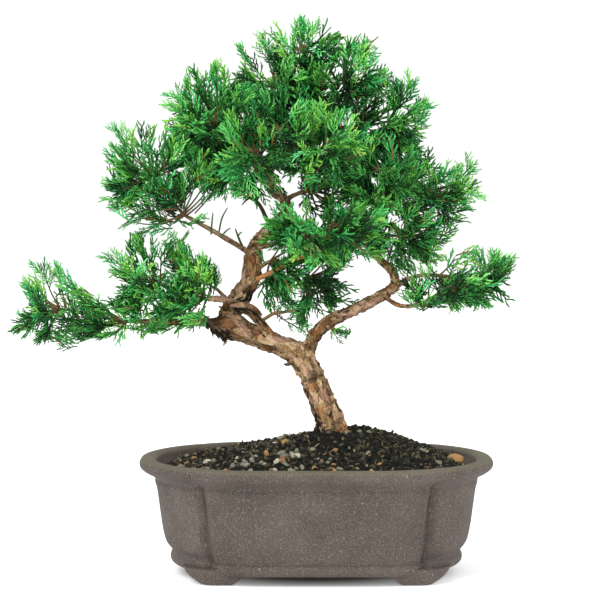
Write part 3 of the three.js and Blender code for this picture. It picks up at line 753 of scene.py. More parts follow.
# %% Foliage pieces
# The darkest greens serve mostly as painted shade deep in the crown.
GREENS = [
    (16, 58, 20), (42, 116, 46), (76, 168, 74), (112, 208, 98), (150, 232, 124), (186, 242, 146),
    (214, 246, 166),
]
HUES = {"cool": (0.74, 0.96, 1.08), "plain": (1, 1, 1), "warm": (1.16, 1.0, 0.82)}
HUE_SHARES = (0.28, 0.46, 0.26)
WARM_TIP_TINT = 3
WARM_TIP_SHARE = 0.5
BROWN = (142, 96, 52)
BROWN_SHARE = 0.07
REGIONS = {
    "foliage_low_left": ["low_left_tip", "low_left", "left_tuft"],
    "foliage_left": ["left", "upper_left", "left_front", "back_left"],
    "foliage_top": ["apex", "apex_left", "apex_front", "apex_right", "back_top"],
    "foliage_middle": ["front", "upper_right", "back_middle", "right_front"],
    "foliage_right": ["right_upper", "back_right", "right_middle"],
    "foliage_low_right": ["right_low_near", "right_low_far"],
    "foliage_low": ["middle", "middle_low", "back_low", "sprig"],
}


def plain_finish(name, colour, roughness=0.6, gloss=0.3):
    finish = Finish(name, roughness, gloss)
    finish.shader.inputs["Base Color"].default_value = linear(*colour)
    return finish.material


green_finishes = []
for hue, factors in HUES.items():
    for index, colour in enumerate(GREENS):
        tinted = [min(level * factor, 250) for level, factor in zip(colour, factors)]
        green_finishes.append(plain_finish(f"needle_{hue}_{index}", tinted))
green_finishes.append(plain_finish("needle_brown", BROWN))


def set_plume(foot, direction, side, length, tint):
    """A copy of one plume in its place, with a colour number for each face."""
    points, faces, zones = plumes[numbers.integers(PLUME_VARIANTS)]
    turned = np.outer(points[:, 0], direction) + np.outer(points[:, 1], side)
    turned += np.outer(points[:, 2], np.cross(direction, side))
    colours = np.clip(round(tint) + zones - 1, 0, len(GREENS) - 1)
    colours += len(GREENS) * numbers.choice(len(HUES), p=HUE_SHARES)
    if tint > WARM_TIP_TINT and numbers.random() < WARM_TIP_SHARE:
        colours[zones == TIP] = 2 * len(GREENS) + colours[zones == TIP] % len(GREENS)
    if numbers.random() < BROWN_SHARE:
        colours[zones == INNER] = len(green_finishes) - 1
    return foot + turned * length, faces, colours


for region, masses in REGIONS.items():
    shapes = [set_plume(*plume) for mass in masses for plume in grown[mass][1]]
    points, faces, colours = joined(shapes)
    piece = piece_from(region + "_sprays", placed(points), faces, green_finishes, colours)
    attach(piece, "root")
    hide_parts(*[f"foliage_{mass}" for mass in masses])
    print(piece.name, "faces:", len(faces))

# %% [markdown]
# ## Twigs
# The twigs carry the plumes. They are thin tubes from the stem of each mass to the foot of each
# plume: brown and woody near the stem, still green further out. A few bare ones are drawn one
# by one, because they can be seen against the sky: a dead one behind the left bough, two
# orange-brown ones across the leader, and thin green ones that stand up on the left bough.

# %% Twigs
TWIG_COLOURS = {
    "woody": (112, 84, 54),
    "green": (52, 100, 44),
    "dead": (62, 54, 40),
    "orange": (176, 122, 74),
}
WOODY_SHARE = 0.42
BARE_TWIGS = [
    ("dead", [(-28.2, 4, 204, 1.3), (-34, 3, 215, 1.1), (-38.7, 3, 217.9, 0.9), (-43, 3, 218.5, 0.4)]),
    ("dead", [(-35.2, 3, 216.1, 0.8), (-33.2, 3, 219, 0.7), (-31.5, 3, 220.8, 0.4)]),
    ("dead", [(-39, 3, 217.8, 0.6), (-41.5, 3, 216, 0.5), (-43.4, 3, 213.6, 0.3)]),
    ("orange", [
        (-35, 0, 170.5, 1.5), (-21.1, -3, 177.2, 1.3), (-9.5, -8, 183.2, 1), (0, -12, 186, 0.7),
    ]),
    ("orange", [(-24.1, 3, 191.6, 1.3), (-14.2, 0, 198.1, 1.1), (-2.5, -6, 206.9, 0.8)]),
    ("woody", [
        (-30.5, -5, 147.5, 1.1), (-24, -8, 151.3, 1), (-18.2, -10, 152, 0.9),
        (-9.5, -10, 154.3, 0.6),
    ]),
    ("green", [(-42.8, 4, 188.7, 0.8), (-45.1, 4, 194, 0.7), (-47.5, 4, 200.4, 0.4)]),
    ("green", [(-45.7, 4, 195.7, 0.5), (-44.6, 4, 197.2, 0.4), (-43.2, 4, 198.2, 0.3)]),
    ("green", [(-60.9, -9, 196.8, 0.5), (-60.3, -10, 204, 0.5), (-59.7, -10, 209.8, 0.3)]),
    ("green", [(-56.3, -8, 198.5, 0.5), (-54.5, -10, 206.4, 0.5), (-51.1, -10, 212.7, 0.3)]),
    ("green", [(-54.6, -8, 195.9, 0.5), (-52.3, -8, 198.8, 0.5), (-49.4, -8, 200.6, 0.3)]),
    ("woody", [(20, -5, 294, 0.7), (26.3, -5, 304.4, 0.6), (28, -5, 313.6, 0.3)]),
    ("woody", [(26.3, -5, 303.2, 0.5), (32.1, -5, 307.8, 0.4), (36.1, -5, 311.3, 0.3)]),
]


def twig_shape(line):
    """A tube whose faces are woody near its foot and green further out."""
    points, faces = tube(line[:, :3], line[:, 3])
    return points, faces, (np.arange(len(faces)) >= WOODY_SHARE * len(faces)).astype(int)


def make_twigs():
    names = list(TWIG_COLOURS)
    shapes = [twig_shape(line) for twigs, _ in grown.values() for line in twigs]
    for colour, route in BARE_TWIGS:
        line = smooth_line(route, 6)
        shapes.append((*tube(line[:, :3], line[:, 3], 7), names.index(colour)))
    points, faces, marks = joined(shapes)
    finishes = [plain_finish(f"twig_{name}", TWIG_COLOURS[name], 0.85) for name in names]
    piece = piece_from("twigs", placed(points), faces, finishes, marks)
    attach(piece, "root")
    return piece


twigs = make_twigs()
print("twig faces:", len(twigs.data.polygons))

# %% [markdown]
# ## The wood
# Each limb begins as a curve with a round bevel that swells and tapers as the limb does. The
# curves become meshes, are joined, and a voxel remesh melts them into one skin, so that every
# fork has a soft collar as real wood has. A few extra knobs, stubs and loose flakes of bark,
# and the flare at the foot, are melted in with the limbs.

# %% Wood
WOOD_VOXEL = 0.52
WOOD_EXTRAS = {
    "knob": [(-50, 2, 142, 7.6), (-54.5, 0.5, 144.5, 7.4), (-57, -1, 148, 5)],
    "knob_flake": [(-52, -3, 138, 3), (-59, -3, 142.5, 2.6), (-65, -4, 149, 1.2)],
    "stub": [(-53, 0, 138, 1.4), (-53.4, -0.5, 134, 0.9), (-54.2, -1, 131.4, 0.5)],
    "flap": [(-14, -1, 122.5, 1.7), (-17, -3, 121, 1.1), (-19, -4, 121.4, 0.5)],
    "bough_flake": [
        (-50, -11, 155.6, 1), (-42, -11, 156, 1.9), (-36, -8, 154, 1.7), (-32, -5, 149.5, 1),
    ],
    "leader_strip": [(-42.5, 0, 168, 1.2), (-42.5, 0, 174, 1.3), (-41.5, 1, 181, 0.9)],
    "foot_right": [(11, -2, 86, 6), (14.5, -3, 80, 5.2), (17, -4, 74, 4)],
    "foot_left": [(6, -2, 86, 6), (3.5, -3, 80, 5), (1, -4, 74, 4)],
}


def limb_curve(name, line):
    data = bpy.data.curves.new(name, "CURVE")
    data.dimensions = "3D"
    data.bevel_depth = MM
    data.bevel_resolution = 4
    data.use_fill_caps = True
    spline = data.splines.new("POLY")
    spline.points.add(len(line) - 1)
    for point, place, radius in zip(spline.points, placed(line[:, :3]), line[:, 3]):
        point.co = (*place, 1)
        point.radius = radius
    limb = bpy.data.objects.new(name, data)
    bpy.context.scene.collection.objects.link(limb)
    return limb


def apply_modifier(piece, kind, **settings):
    only(piece)
    modifier = piece.modifiers.new(kind.lower(), kind)
    for name, value in settings.items():
        setattr(modifier, name, value)
    bpy.ops.object.modifier_apply(modifier=modifier.name)


def melted_limbs(lines):
    """One skin over all the limbs."""
    only(*[limb_curve(name, line) for name, line in lines.items()])
    bpy.ops.object.convert(target="MESH")
    bpy.ops.object.join()
    wood = bpy.context.object
    wood.name = "wood"
    apply_modifier(wood, "REMESH", mode="VOXEL", voxel_size=WOOD_VOXEL * MM)
    apply_modifier(wood, "SMOOTH", factor=0.5, iterations=3)
    return wood


extra_lines = {name: smooth_line(route, 5) for name, route in WOOD_EXTRAS.items()}
skin_lines = {**wood_lines, **extra_lines}
wood = melted_limbs(skin_lines)
print("wood points:", len(wood.data.vertices))

# %% [markdown]
# ## The relief of the bark
# The skin is pushed in and out along its own normals by cells drawn out along the limb. Each
# cell is a flake of bark that lifts at one end. Dark rings mark two old cuts. The undersides
# get a painted shade, and so do the dark spots, which are partly dark, flaky bark round the
# elbow and partly painted shade on the trunk and under the limbs.

# %% Bark relief
CRACK_WIDTH = 0.16
RING_WIDTH = 0.8
LIMB_SPACING = 60
CHUNK = 4000
DARK_RINGS = [
    ((-1.6, 3, 113), (-0.35, 0, 0.94), 11),
    ((41.5, -14, 162.3), (0.9, 0, 0.42), 6),
]
# Dark spots: partly dark, flaky bark round the elbow, partly painted shade on the trunk and under the
# limbs.
DARK_SPOTS = [
    ((-60.7, -4, 146), 6.5), ((-56, -4, 140), 4), ((-63.6, -4, 141), 4.5), ((-53, -8, 158), 3.5),
    ((-47, -9, 155), 4), ((-41, -9, 153.5), 4), ((-35, -8, 151), 4), ((-28.5, -6, 145.5), 4),
    ((-23, -5, 141.5), 3.5), ((-46, -4, 132.5), 3), ((-36, -4, 129.5), 2.5), ((-24, -4, 126), 3),
    ((-17.5, -3, 121), 4), ((-38, 2, 163), 3), ((-8, -5, 105), 3), ((17, -5, 98), 2.5),
    ((-5, -5, 98), 2.5), ((-2, -6, 91), 3), ((1, -7, 84), 3), ((-4, -4, 80), 4),
]


def read_rows(items, field):
    """One row of three numbers for each vertex or normal of a mesh."""
    values = np.empty(len(items) * 3)
    items.foreach_get(field, values)
    return values.reshape(-1, 3)


def limb_places(points, lines):
    """For each point: its place round and along the nearest limb, its radius and heading."""
    rows = []
    for number, line in enumerate(lines):
        across, above = frames_along(line[:, :3])
        along = length_along(line) + LIMB_SPACING * number
        rows.append(np.column_stack([line, across, above, along]))
    rows, found = np.vstack(rows), []
    for start in range(0, len(points), CHUNK):
        part = points[start:start + CHUNK]
        offset = part[:, None, :] - rows[None, :, :3]
        nearest = np.argmin(np.linalg.norm(offset, axis=2) / (rows[:, 3] + 1), axis=1)
        row = rows[nearest]
        away = part - row[:, :3]
        across, above = row[:, 4:7], row[:, 7:10]
        heading = np.cross(across, above)
        side, over, forward = (np.sum(away * way, axis=1) for way in (across, above, heading))
        found.append(np.column_stack([side, over, row[:, 10] + forward, row[:, 3], heading]))
    found = np.vstack(found)
    return found[:, :3], found[:, 3], found[:, 4:]


def noise_at(points):
    return np.array([noise.noise(Vector(point)) for point in points])


def flakes_at(points):
    """For each point of the bark: how deep in a crack it lies, its flake's tone and its tilt."""
    edge, tone, tilt = np.empty(len(points)), np.empty(len(points)), np.empty(len(points))
    for index, point in enumerate(points):
        distances, centres = noise.voronoi(Vector(point))
        edge[index] = distances[1] - distances[0]
        tone[index] = noise.cell(centres[0] * 7.3)
        tilt[index] = point[2] - centres[0].z
    return edge, tone, tilt


def keep_values(mesh, name, kind, values):
    field = "vector" if kind == "FLOAT_VECTOR" else "value"
    mesh.attributes.new(name, kind, "POINT").data.foreach_set(field, np.ravel(values))


def near_dark_spot(points):
    """How near each point lies to a dark spot, 0 to 1. Some are painted shade."""
    near = np.zeros(len(points))
    for centre, reach in DARK_SPOTS:
        away = np.linalg.norm(points - centre, axis=1)
        near = np.maximum(near, np.clip(1.5 - away / reach, 0, 1))
    return near


def cut_rings(points, relief):
    """Cracks all round the limb at the old cuts."""
    for centre, axis, reach in DARK_RINGS:
        away = points - centre
        level = np.abs(away @ unit(axis)) < RING_WIDTH
        relief[level & (np.linalg.norm(away, axis=1) < reach)] = 0


def carve_bark(mesh):
    """Push the skin into relief and keep what its finish reads. Gives a row for each point."""
    points = (read_rows(mesh.vertices, "co") - POT_MIDDLE) / MM
    normals = read_rows(mesh.vertex_normals, "vector")
    grain, radii, headings = limb_places(points, skin_lines.values())
    lumps = noise_at(points * 0.12)
    warp = np.column_stack([noise_at(points * 0.2 + 31), noise_at(points * 0.2 + 57), lumps])
    fine = np.clip(4.4 / (radii + 0.6), 0.7, 2.0)[:, None]
    edge, tone, tilt = flakes_at((grain * (0.42, 0.42, 0.15) + 0.5 * warp) * fine)
    strings = noise_at(grain * (1.3, 1.3, 0.12) - 3)
    relief = np.clip(edge / CRACK_WIDTH, 0, 1)
    cut_rings(points, relief)
    depth = np.clip(0.14 * radii, 0.1, 0.9)
    height = depth * (0.8 * relief + 0.6 * tone + 1.1 * tilt + 0.9 * strings - 0.75)
    height += 0.1 * radii * lumps
    moved = points + normals * height[:, None]
    near = near_dark_spot(points)
    # Painted shade: darker where the skin faces down, and on the dark spots.
    shade = -normals[:, 2] * 0.8 - 0.25 + 0.4 * warp[:, 0]
    shade = np.clip(np.maximum(shade, near * (0.6 + 0.8 * tone)), 0, 1)
    mesh.vertices.foreach_set("co", placed(moved).ravel())
    keep_values(mesh, "grain", "FLOAT_VECTOR", grain)
    for name, values in (("relief", relief), ("tone", tone), ("shade", shade)):
        keep_values(mesh, name, "FLOAT", values)
    mesh.polygons.foreach_set("use_smooth", np.full(len(mesh.polygons), True))
    mesh.update()
    return np.column_stack([moved, normals, headings, near, radii])


bark_rows = carve_bark(wood.data)
wood.data.materials.clear()
wood.data.materials.append(bark_finish)
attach(wood, "root")
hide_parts(*wood_lines)
print("wood faces:", len(wood.data.polygons))

# %% [markdown]
# ## Shreds of bark
# A juniper's bark peels off in strings. The longest are nearly black and lie on the dark spots,
# which are partly dark bark round the elbow and partly painted shade on the trunk, and shorter
# ones break up the edges of the trunk. Each is a thin tube that starts in the bark, runs along
# the limb and lifts off at its end.

# %% Shreds of bark
SHRED_COUNT = 620
SHRED_COLOURS = [(26, 22, 17), (44, 35, 26), (92, 72, 50), (158, 130, 98)]
LONG_SHRED = (2.5, 6.5)
SHORT_SHRED = (1.2, 3.2)
SHRED_RADIUS = (0.3, 0.65)
# How near a dark spot a shred must start to be long and near-black; some spots are painted shade.
DARK_SPOT_LEVEL = 0.3
THINNEST_LIMB = 2.2


def bark_shred(row):
    """One shred on a row of the bark, or None where it would cross a gap."""
    place, normal, heading, on_dark_spot = row[0:3], row[3:6], row[6:9], row[9] > DARK_SPOT_LEVEL
    length = numbers.uniform(*(LONG_SHRED if on_dark_spot else SHORT_SHRED))
    forward = -1 if on_dark_spot else numbers.choice((-1, 1))
    way = unit(heading * forward + 0.25 * numbers.normal(0, 1, 3))
    lift = numbers.uniform(0, 0.6)
    line = [
        place - 0.3 * normal,
        place + way * length * 0.5 + normal * (0.1 + 0.3 * lift),
        place + way * length + normal * lift,
    ]
    if in_sky(line[1]) or in_sky(line[2]):
        return None
    thick = numbers.uniform(*SHRED_RADIUS)
    # Near-black shreds on the dark spots, which partly stand for painted shade.
    colour = numbers.integers(0, 2) if on_dark_spot else numbers.integers(1, 4)
    return (*tube(line, np.array([0.8, 1, 0]) * thick, 4), colour)


def make_shreds():
    weights = (0.03 + bark_rows[:, 9] ** 2) * (bark_rows[:, 10] > THINNEST_LIMB)
    chosen = numbers.choice(len(bark_rows), SHRED_COUNT, replace=False, p=weights / weights.sum())
    shapes = [bark_shred(bark_rows[number]) for number in chosen]
    points, faces, colours = joined([shape for shape in shapes if shape])
    finishes = [
        plain_finish(f"shred_{number}", colour, 0.9, 0.2)
        for number, colour in enumerate(SHRED_COLOURS)
    ]
    piece = piece_from("bark_shreds", placed(points), faces, finishes, colours)
    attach(piece, "root")
    return piece


shreds = make_shreds()
print("shred faces:", len(shreds.data.polygons))

# %% [markdown]
# ## The pot's plan
# Seen from above the pot is nearly an oval: its corners are so round that only short flat
# panels are left between them. One soft groove in each corner parts the round ends of the pot
# from its front and back. The plan is kept as a list of stations, so that the pot, its inside
# and the soil can all be drawn on it, each with an inset of its own.

# %% Pot plan
POT_WIDTH = 205.0
POT_DEPTH = 147.0
CORNER_RADIUS = 70.0
GROOVE_ANGLE = 58.0
GROOVE_SPREAD = 3.0
GROOVE_LEAN = 2.0
GROOVE_LEAN_SPAN = (30, 66)
FRONT_BLEND = 5.0
FAR_FROM_GROOVE = 99.0
CORNER_POINTS = 30
PANELS = {1: (POT_WIDTH, 10), -1: (POT_DEPTH, 3)}


def plan_stations():
    """Points round the plan: a corner's middle, the angle, the slide and the way past the groove.

    The way is above nought on the side of the pot's end, and below it at the front and back.
    """
    stations = []
    for corner in range(4):
        start = 90.0 * corner
        middle = math.radians(start + 45)
        centre = np.array([
            np.sign(math.cos(middle)) * (POT_WIDTH / 2 - CORNER_RADIUS),
            np.sign(math.sin(middle)) * (POT_DEPTH / 2 - CORNER_RADIUS),
        ])
        side, groove = (-1, 90 - GROOVE_ANGLE) if corner % 2 else (1, GROOVE_ANGLE)
        for step in range(CORNER_POINTS + 1):
            turn = 90 * step / CORNER_POINTS
            way = side * math.radians(groove - turn) * CORNER_RADIUS
            stations.append((centre, math.radians(start + turn), 0.0, way))
        length, count = PANELS[side]
        for step in range(1, count):
            slide = (length - 2 * CORNER_RADIUS) * step / count
            stations.append((centre, math.radians(start + 90), slide, -side * FAR_FROM_GROOVE))
    return stations


stations = plan_stations()


def plan_ring(inset, height, groove, front=None):
    """One ring of the plan, with another inset and height at the front where they are given.

    The groove leans a little towards the pot's end as it climbs.
    """
    low, high = GROOVE_LEAN_SPAN
    lean = GROOVE_LEAN * min(max((height - low) / (high - low), 0), 1)
    front = front or (inset, height)
    ring = []
    for centre, angle, slide, way in stations:
        depth = groove * math.exp(-(((way - lean) / GROOVE_SPREAD) ** 2))
        share = min(max(0.5 - way / FRONT_BLEND, 0), 1)
        inset_here, height_here = np.array([inset, height]) * (1 - share) + np.array(front) * share
        radius = CORNER_RADIUS - inset_here - depth
        out = np.array([math.cos(angle), math.sin(angle)])
        along = np.array([-math.sin(angle), math.cos(angle)])
        ring.append([*(centre + radius * out + slide * along), height_here])
    return np.array(ring)


print("points round the plan:", len(stations))

# %% [markdown]
# ## The clay
# The pot is unglazed grey-brown clay. It is mottled, finely speckled with pale and dark grains,
# and a little olive on top of the rim, where water leaves a film.

# %% Clay
FILM_COLOUR = (106, 104, 80)
FILM_HEIGHTS = (0.0652, 0.0662)
FILM_SHARE = 0.35


def make_clay():
    clay = Finish("clay_unglazed", roughness=0.78, gloss=0.3)
    place = clay.place()
    mottle = clay.cloud(place, 38, detail=4.0)
    speckle = clay.cloud(place, 1500, roughness=0.7)
    grains = clay.cloud(place, 700, roughness=0.7)
    colour = clay.ramp(mottle, [
        (0.32, (70, 62, 56)),
        (0.50, (79, 70, 64)),
        (0.68, (88, 79, 73)),
    ])
    for pattern, start, full, share, fleck in [
        (speckle, 0.50, 0.72, 0.5, (150, 140, 131)),
        (speckle, 0.50, 0.28, 0.5, (44, 39, 35)),
        (grains, 0.64, 0.72, 0.6, (152, 144, 136)),
        (grains, 0.34, 0.26, 0.6, (46, 41, 37)),
    ]:
        colour = clay.tinted(colour, fleck, clay.step(pattern, start, full) * share)
    height = clay.node("ShaderNodeSeparateXYZ", {}, {0: place}, output=2)
    colour = clay.tinted(colour, FILM_COLOUR, clay.step(height, *FILM_HEIGHTS) * FILM_SHARE)
    clay.give("Base Color", colour)
    clay.bump(speckle, 0.0004, 0.5)
    return clay.material


clay_finish = make_clay()
print("clay nodes:", len(clay_finish.node_tree.nodes))

# %% [markdown]
# ## The pot's wall
# The wall is drawn as rings on the plan. The first ring is a circle primitive whose points are
# put in their places, and every further ring is extruded from the last: up the outside, over
# the rolled lip and down the inside. The foot stands in a little more at the front and back
# than at the ends. Each row gives the inset from the plan, the height and the groove's depth.

# %% Pot body
END_FOOT = [
    (30, 5, 1), (24, 5.4, 3), (20.2, 6, 3), (18.3, 7.4, 3.2), (17.5, 9.2, 3.6), (17.6, 11.2, 3.8),
    (18.5, 12.8, 4), (18.3, 14.2, 4.2), (14.9, 18.8, 4.8),
]
FRONT_FOOT = [
    (30, 5, 1), (23, 5.2, 3), (18.6, 5.6, 3), (17.1, 6.8, 3.2), (16.7, 8.4, 3.6), (17, 10.4, 3.8),
    (17.9, 11.5, 4), (17, 13, 4.2), (15.2, 18.8, 4.8),
]
WALL = [
    (12.8, 27, 5.2), (11.2, 38, 5.2), (9.4, 50.5, 4.8), (8.6, 53, 4.4), (8.5, 54.6, 4.2),
    (8.5, 55.6, 4), (6.8, 57.4, 3.6), (2.1, 60, 2.6), (-0.2, 62.2, 1.9), (-0.5, 64.8, 1.6),
    (0.5, 66.5, 1.5), (2.8, 67.2, 1.5), (7.2, 67, 1.5), (9.4, 65.4, 1.5), (9.9, 63, 1.5),
]
INNER_WALL = [(13, 58, 1), (16.5, 54, 0), (21, 30, 0), (28, 12, 0)]


def smooth_rows(rows, steps):
    line = smooth_line([(*row, 0) for row in rows], steps)
    return [tuple(row[:3]) for row in line]


def put_selected(mesh, before, after):
    """Move each selected point from its place in one ring to its place in the next."""
    edit = bmesh.from_edit_mesh(mesh)
    for vertex in edit.verts:
        if vertex.select:
            number = np.argmin(np.linalg.norm(before - np.array(vertex.co), axis=1))
            vertex.co = after[number]
    bmesh.update_edit_mesh(mesh)


def ringed_body(name, rings, material):
    """A closed body whose skin is extruded from ring to ring, capped at both ends."""
    only()
    bpy.ops.mesh.primitive_circle_add(vertices=len(rings[0]), radius=1, fill_type="NGON")
    body = bpy.context.object
    body.name = name
    for vertex, place in zip(body.data.vertices, rings[0]):
        vertex.co = place
    bpy.ops.object.mode_set(mode="EDIT")
    bpy.ops.mesh.select_all(action="SELECT")
    for before, after in zip(rings, rings[1:]):
        bpy.ops.mesh.extrude_region_move()
        put_selected(body.data, before, after)
    bpy.ops.mesh.select_all(action="SELECT")
    bpy.ops.mesh.normals_make_consistent(inside=False)
    bpy.ops.mesh.faces_shade_smooth()
    bpy.ops.object.mode_set(mode="OBJECT")
    body.data.materials.append(material)
    return body


end_rows = smooth_rows(END_FOOT + WALL, 3)
front_rows = smooth_rows(FRONT_FOOT + WALL, 3)
pot_rings = [
    placed(plan_ring(*row, front[:2])) for row, front in zip(end_rows, front_rows)
] + [placed(plan_ring(*row)) for row in INNER_WALL]
pot = ringed_body("pot_body", pot_rings, clay_finish)
print("pot faces:", len(pot.data.polygons))

# %% [markdown]
# ## The feet
# Four bracket feet carry the pot, each an L under one corner lobe. It is wide where it meets
# the pot and drawn in to a small flat sole. One rule gives the outline at every height, and
# mirrored it gives all four feet, which are then joined to the pot.

# %% Feet
FOOT_OUTER = (76.0, 52.0)
FOOT_INNER = (39.5, 25.0)
SOLE_OUTER = (66.0, 49.5)
SOLE_INNER = (48.0, 31.0)
FOOT_HEIGHT = 9.0
FOOT_ROUND = 18.0
FOOT_ROUND_STEPS = 6
FOOT_ARM = 9
FOOT_ROWS = 9
SMOOTH_ANGLE = 50


def drawn_in(wide, narrow, share):
    return [start + (end - start) * share for start, end in zip(wide, narrow)]


def foot_ring(share):
    """The outline of a foot at a share of its height: an L round the corner of the pot."""
    drawn = (1 - share) ** 1.7
    outer_x, outer_y = drawn_in(FOOT_OUTER, SOLE_OUTER, drawn)
    inner_x, inner_y = drawn_in(FOOT_INNER, SOLE_INNER, drawn)
    arm_x, arm_y = inner_x + FOOT_ARM, inner_y + FOOT_ARM
    curve = FOOT_ROUND * (0.45 + 0.55 * share)
    ring = [(inner_x, arm_y), (arm_x, arm_y), (arm_x, inner_y), (outer_x, inner_y)]
    for step in range(FOOT_ROUND_STEPS + 1):
        angle = math.pi / 2 * step / FOOT_ROUND_STEPS
        ring.append((
            outer_x - curve + curve * math.cos(angle),
            outer_y - curve + curve * math.sin(angle),
        ))
    ring.append((inner_x, outer_y))
    return np.array([(x, y, share * FOOT_HEIGHT) for x, y in ring])


def make_foot(side_x, side_y):
    rings = [foot_ring(row / FOOT_ROWS) * (side_x, side_y, 1) for row in range(FOOT_ROWS + 1)]
    return ringed_body("pot_foot", [placed(ring) for ring in rings], clay_finish)


feet = [make_foot(side_x, side_y) for side_x in (-1, 1) for side_y in (-1, 1)]
only(*feet, pot)
bpy.ops.object.join()
only(pot)
bpy.ops.object.shade_smooth_by_angle(angle=math.radians(SMOOTH_ANGLE))
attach(pot, "root")
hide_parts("pot")
print("pot and feet faces:", len(pot.data.polygons))

# %% [markdown]
# ## Soil
# The soil fills the pot to just under its rim and rises to the foot of the trunk. The mound is
# one uneven skin of rings on the pot's own plan that close in on the trunk.

# %% Soil
SOIL_EDGE = 61.0
SOIL_PEAK = 84.0
SOIL_PEAK_PLACE = (27.0, 10.0)
SOIL_RISE = 0.78
SOIL_RINGS = 26
SOIL_LUMPS = [((6, -10), (13, 9), 4.6), ((-8, -2), (7, 7), 1.4), ((-27, 6), (10, 14), -1.3)]
SOIL_SIDES = [(22, 30), (17.2, 54)]
SOIL_INSET = 13.6
SOIL_GROOVE = 1.5
LAST_RING = 0.985
SOIL_COLOURS = [(20, 21, 17), (30, 30, 25), (46, 44, 35), (72, 68, 54)]
soil_finishes = []


def soil_numbers(colours):
    """Add a finish for each colour, and give the numbers that their faces take."""
    first = len(soil_finishes)
    for number, colour in enumerate(colours, first):
        soil_finishes.append(plain_finish(f"soil_{number}", colour, 0.95, 0.15))
    return range(first, len(soil_finishes))


def soil_height(share, x, y):
    """The height of the mound: an even rise to its peak, with a few broad lumps."""
    height = SOIL_EDGE + (SOIL_PEAK - SOIL_EDGE) * share ** SOIL_RISE
    for (middle_x, middle_y), (wide, deep), tall in SOIL_LUMPS:
        height += tall * math.exp(-((x - middle_x) / wide) ** 2 - ((y - middle_y) / deep) ** 2)
    return height


def soil_ring(share):
    ring = plan_ring(SOIL_INSET, 0, SOIL_GROOVE)
    ring[:, :2] = ring[:, :2] * (1 - share) + np.array(SOIL_PEAK_PLACE) * share
    fine = np.array([noise.noise(Vector((x * 0.3, y * 0.3, 9))) for x, y, _ in ring])
    ring[:, 2] = [soil_height(share, x, y) for x, y, _ in ring]
    ring[:, 2] += (0.5 * fine - 0.3) * min(1, 6 * share)
    return ring


def make_mound():
    rows = [plan_ring(inset, height, 0) for inset, height in SOIL_SIDES]
    rows += [soil_ring(LAST_RING * row / SOIL_RINGS) for row in range(SOIL_RINGS + 1)]
    return ringed_body("soil_mound", [placed(ring) for ring in rows], soil_finishes[0])


grain_colours = soil_numbers(SOIL_COLOURS)
mound = make_mound()
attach(mound, "root")
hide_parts("soil")
print("soil faces:", len(mound.data.polygons))

# %% [markdown]
# ## Grit
# Grit lies all over the soil: thousands of dark grains and flat chips of bark, and some pale
# pebbles, most of them at the front left. One low-poly ball is squashed, turned and dented anew
# for each, and only what falls inside the pot is kept.

# %% Grit
GRIT_COUNT = 2300
GRIT_SIZES = (0.6, 1.7)
GRIT_INSET = 14.6
CHIP_COUNT = 900
CHIP_SIZES = (0.5, 1.4)
PEBBLE_COUNT = 120
PEBBLE_SIZES = (1.0, 2.7)
LARGE_PEBBLE_PLACE = (81, -4, 65)
LARGE_PEBBLE_SIZE = (5.2, 4.2, 4.2)
LARGE_PEBBLE_COLOUR = 2
GRAIN_DENTS = 0.12
LARGE_PEBBLE_DENTS = 0.07
POT_REACH = (88, 60)
STRAY_SHARE = 0.35
WASHED_X = (-30, 34)
WASHED_Y = (-44, 11)
CHIP_COLOURS = [(40, 36, 28), (66, 58, 44), (96, 84, 62), (124, 112, 88), (84, 82, 62)]
PEBBLE_COLOURS = [
    (150, 145, 130), (128, 121, 102), (160, 124, 82), (118, 118, 106), (184, 176, 156),
    (132, 104, 74), (118, 120, 100),
]
GRAIN_FORM = ((0.65, 1.15), (0.65, 1.15), (0.65, 1.15))
CHIP_FORM = ((1.6, 2.6), (0.6, 1.0), (0.25, 0.45))
PEBBLE_FORM = ((0.9, 1.4), (0.7, 1.0), (0.55, 0.85))


def grain_shape(subdivisions):
    only()
    bpy.ops.mesh.primitive_ico_sphere_add(subdivisions=subdivisions, radius=1)
    ball = bpy.context.object
    points = read_rows(ball.data.vertices, "co")
    faces = np.array([list(face.vertices) for face in ball.data.polygons])
    bpy.data.objects.remove(ball)
    return points, faces


def surface_height(x, y):
    """The height of the mound under a place, or None outside the pot."""
    outline = plan_ring(GRIT_INSET, 0, SOIL_GROOVE)[:, :2]
    peak = np.array(SOIL_PEAK_PLACE)
    toward = np.array([x, y]) - peak
    angles = np.arctan2(outline[:, 1] - peak[1], outline[:, 0] - peak[0])
    order = np.argsort(angles)
    edge = np.interp(
        math.atan2(toward[1], toward[0]), angles[order],
        np.linalg.norm(outline - peak, axis=1)[order], period=2 * math.pi,
    )
    share = 1 - np.linalg.norm(toward) / edge
    return soil_height(share, x, y) if share >= 0 else None


def dented(points, depth):
    return points * (1 + depth * numbers.normal(0, 1, (len(points), 1)))


def scatter(count, sizes, form, colours, place_of):
    """Many small bodies on the soil, each with its own size, form, turn and colour."""
    points, faces = grain_shape(1)
    shapes = []
    while len(shapes) < count:
        x, y = place_of()
        height = surface_height(x, y)
        if height is None:
            continue
        size = numbers.uniform(*sizes)
        turn = np.linalg.qr(numbers.normal(0, 1, (3, 3)))[0]
        turn *= np.sign(np.linalg.det(turn))
        body = dented(points * [numbers.uniform(*span) for span in form] * size, GRAIN_DENTS)
        colour = colours[numbers.integers(len(colours))]
        shapes.append((body @ turn.T + (x, y, height), faces, colour))
    return shapes


def anywhere():
    wide, deep = POT_REACH
    return numbers.uniform(-wide, wide), numbers.uniform(-deep, deep)


def front_left():
    if numbers.random() < STRAY_SHARE:
        return anywhere()
    return numbers.normal(*WASHED_X), numbers.normal(*WASHED_Y)


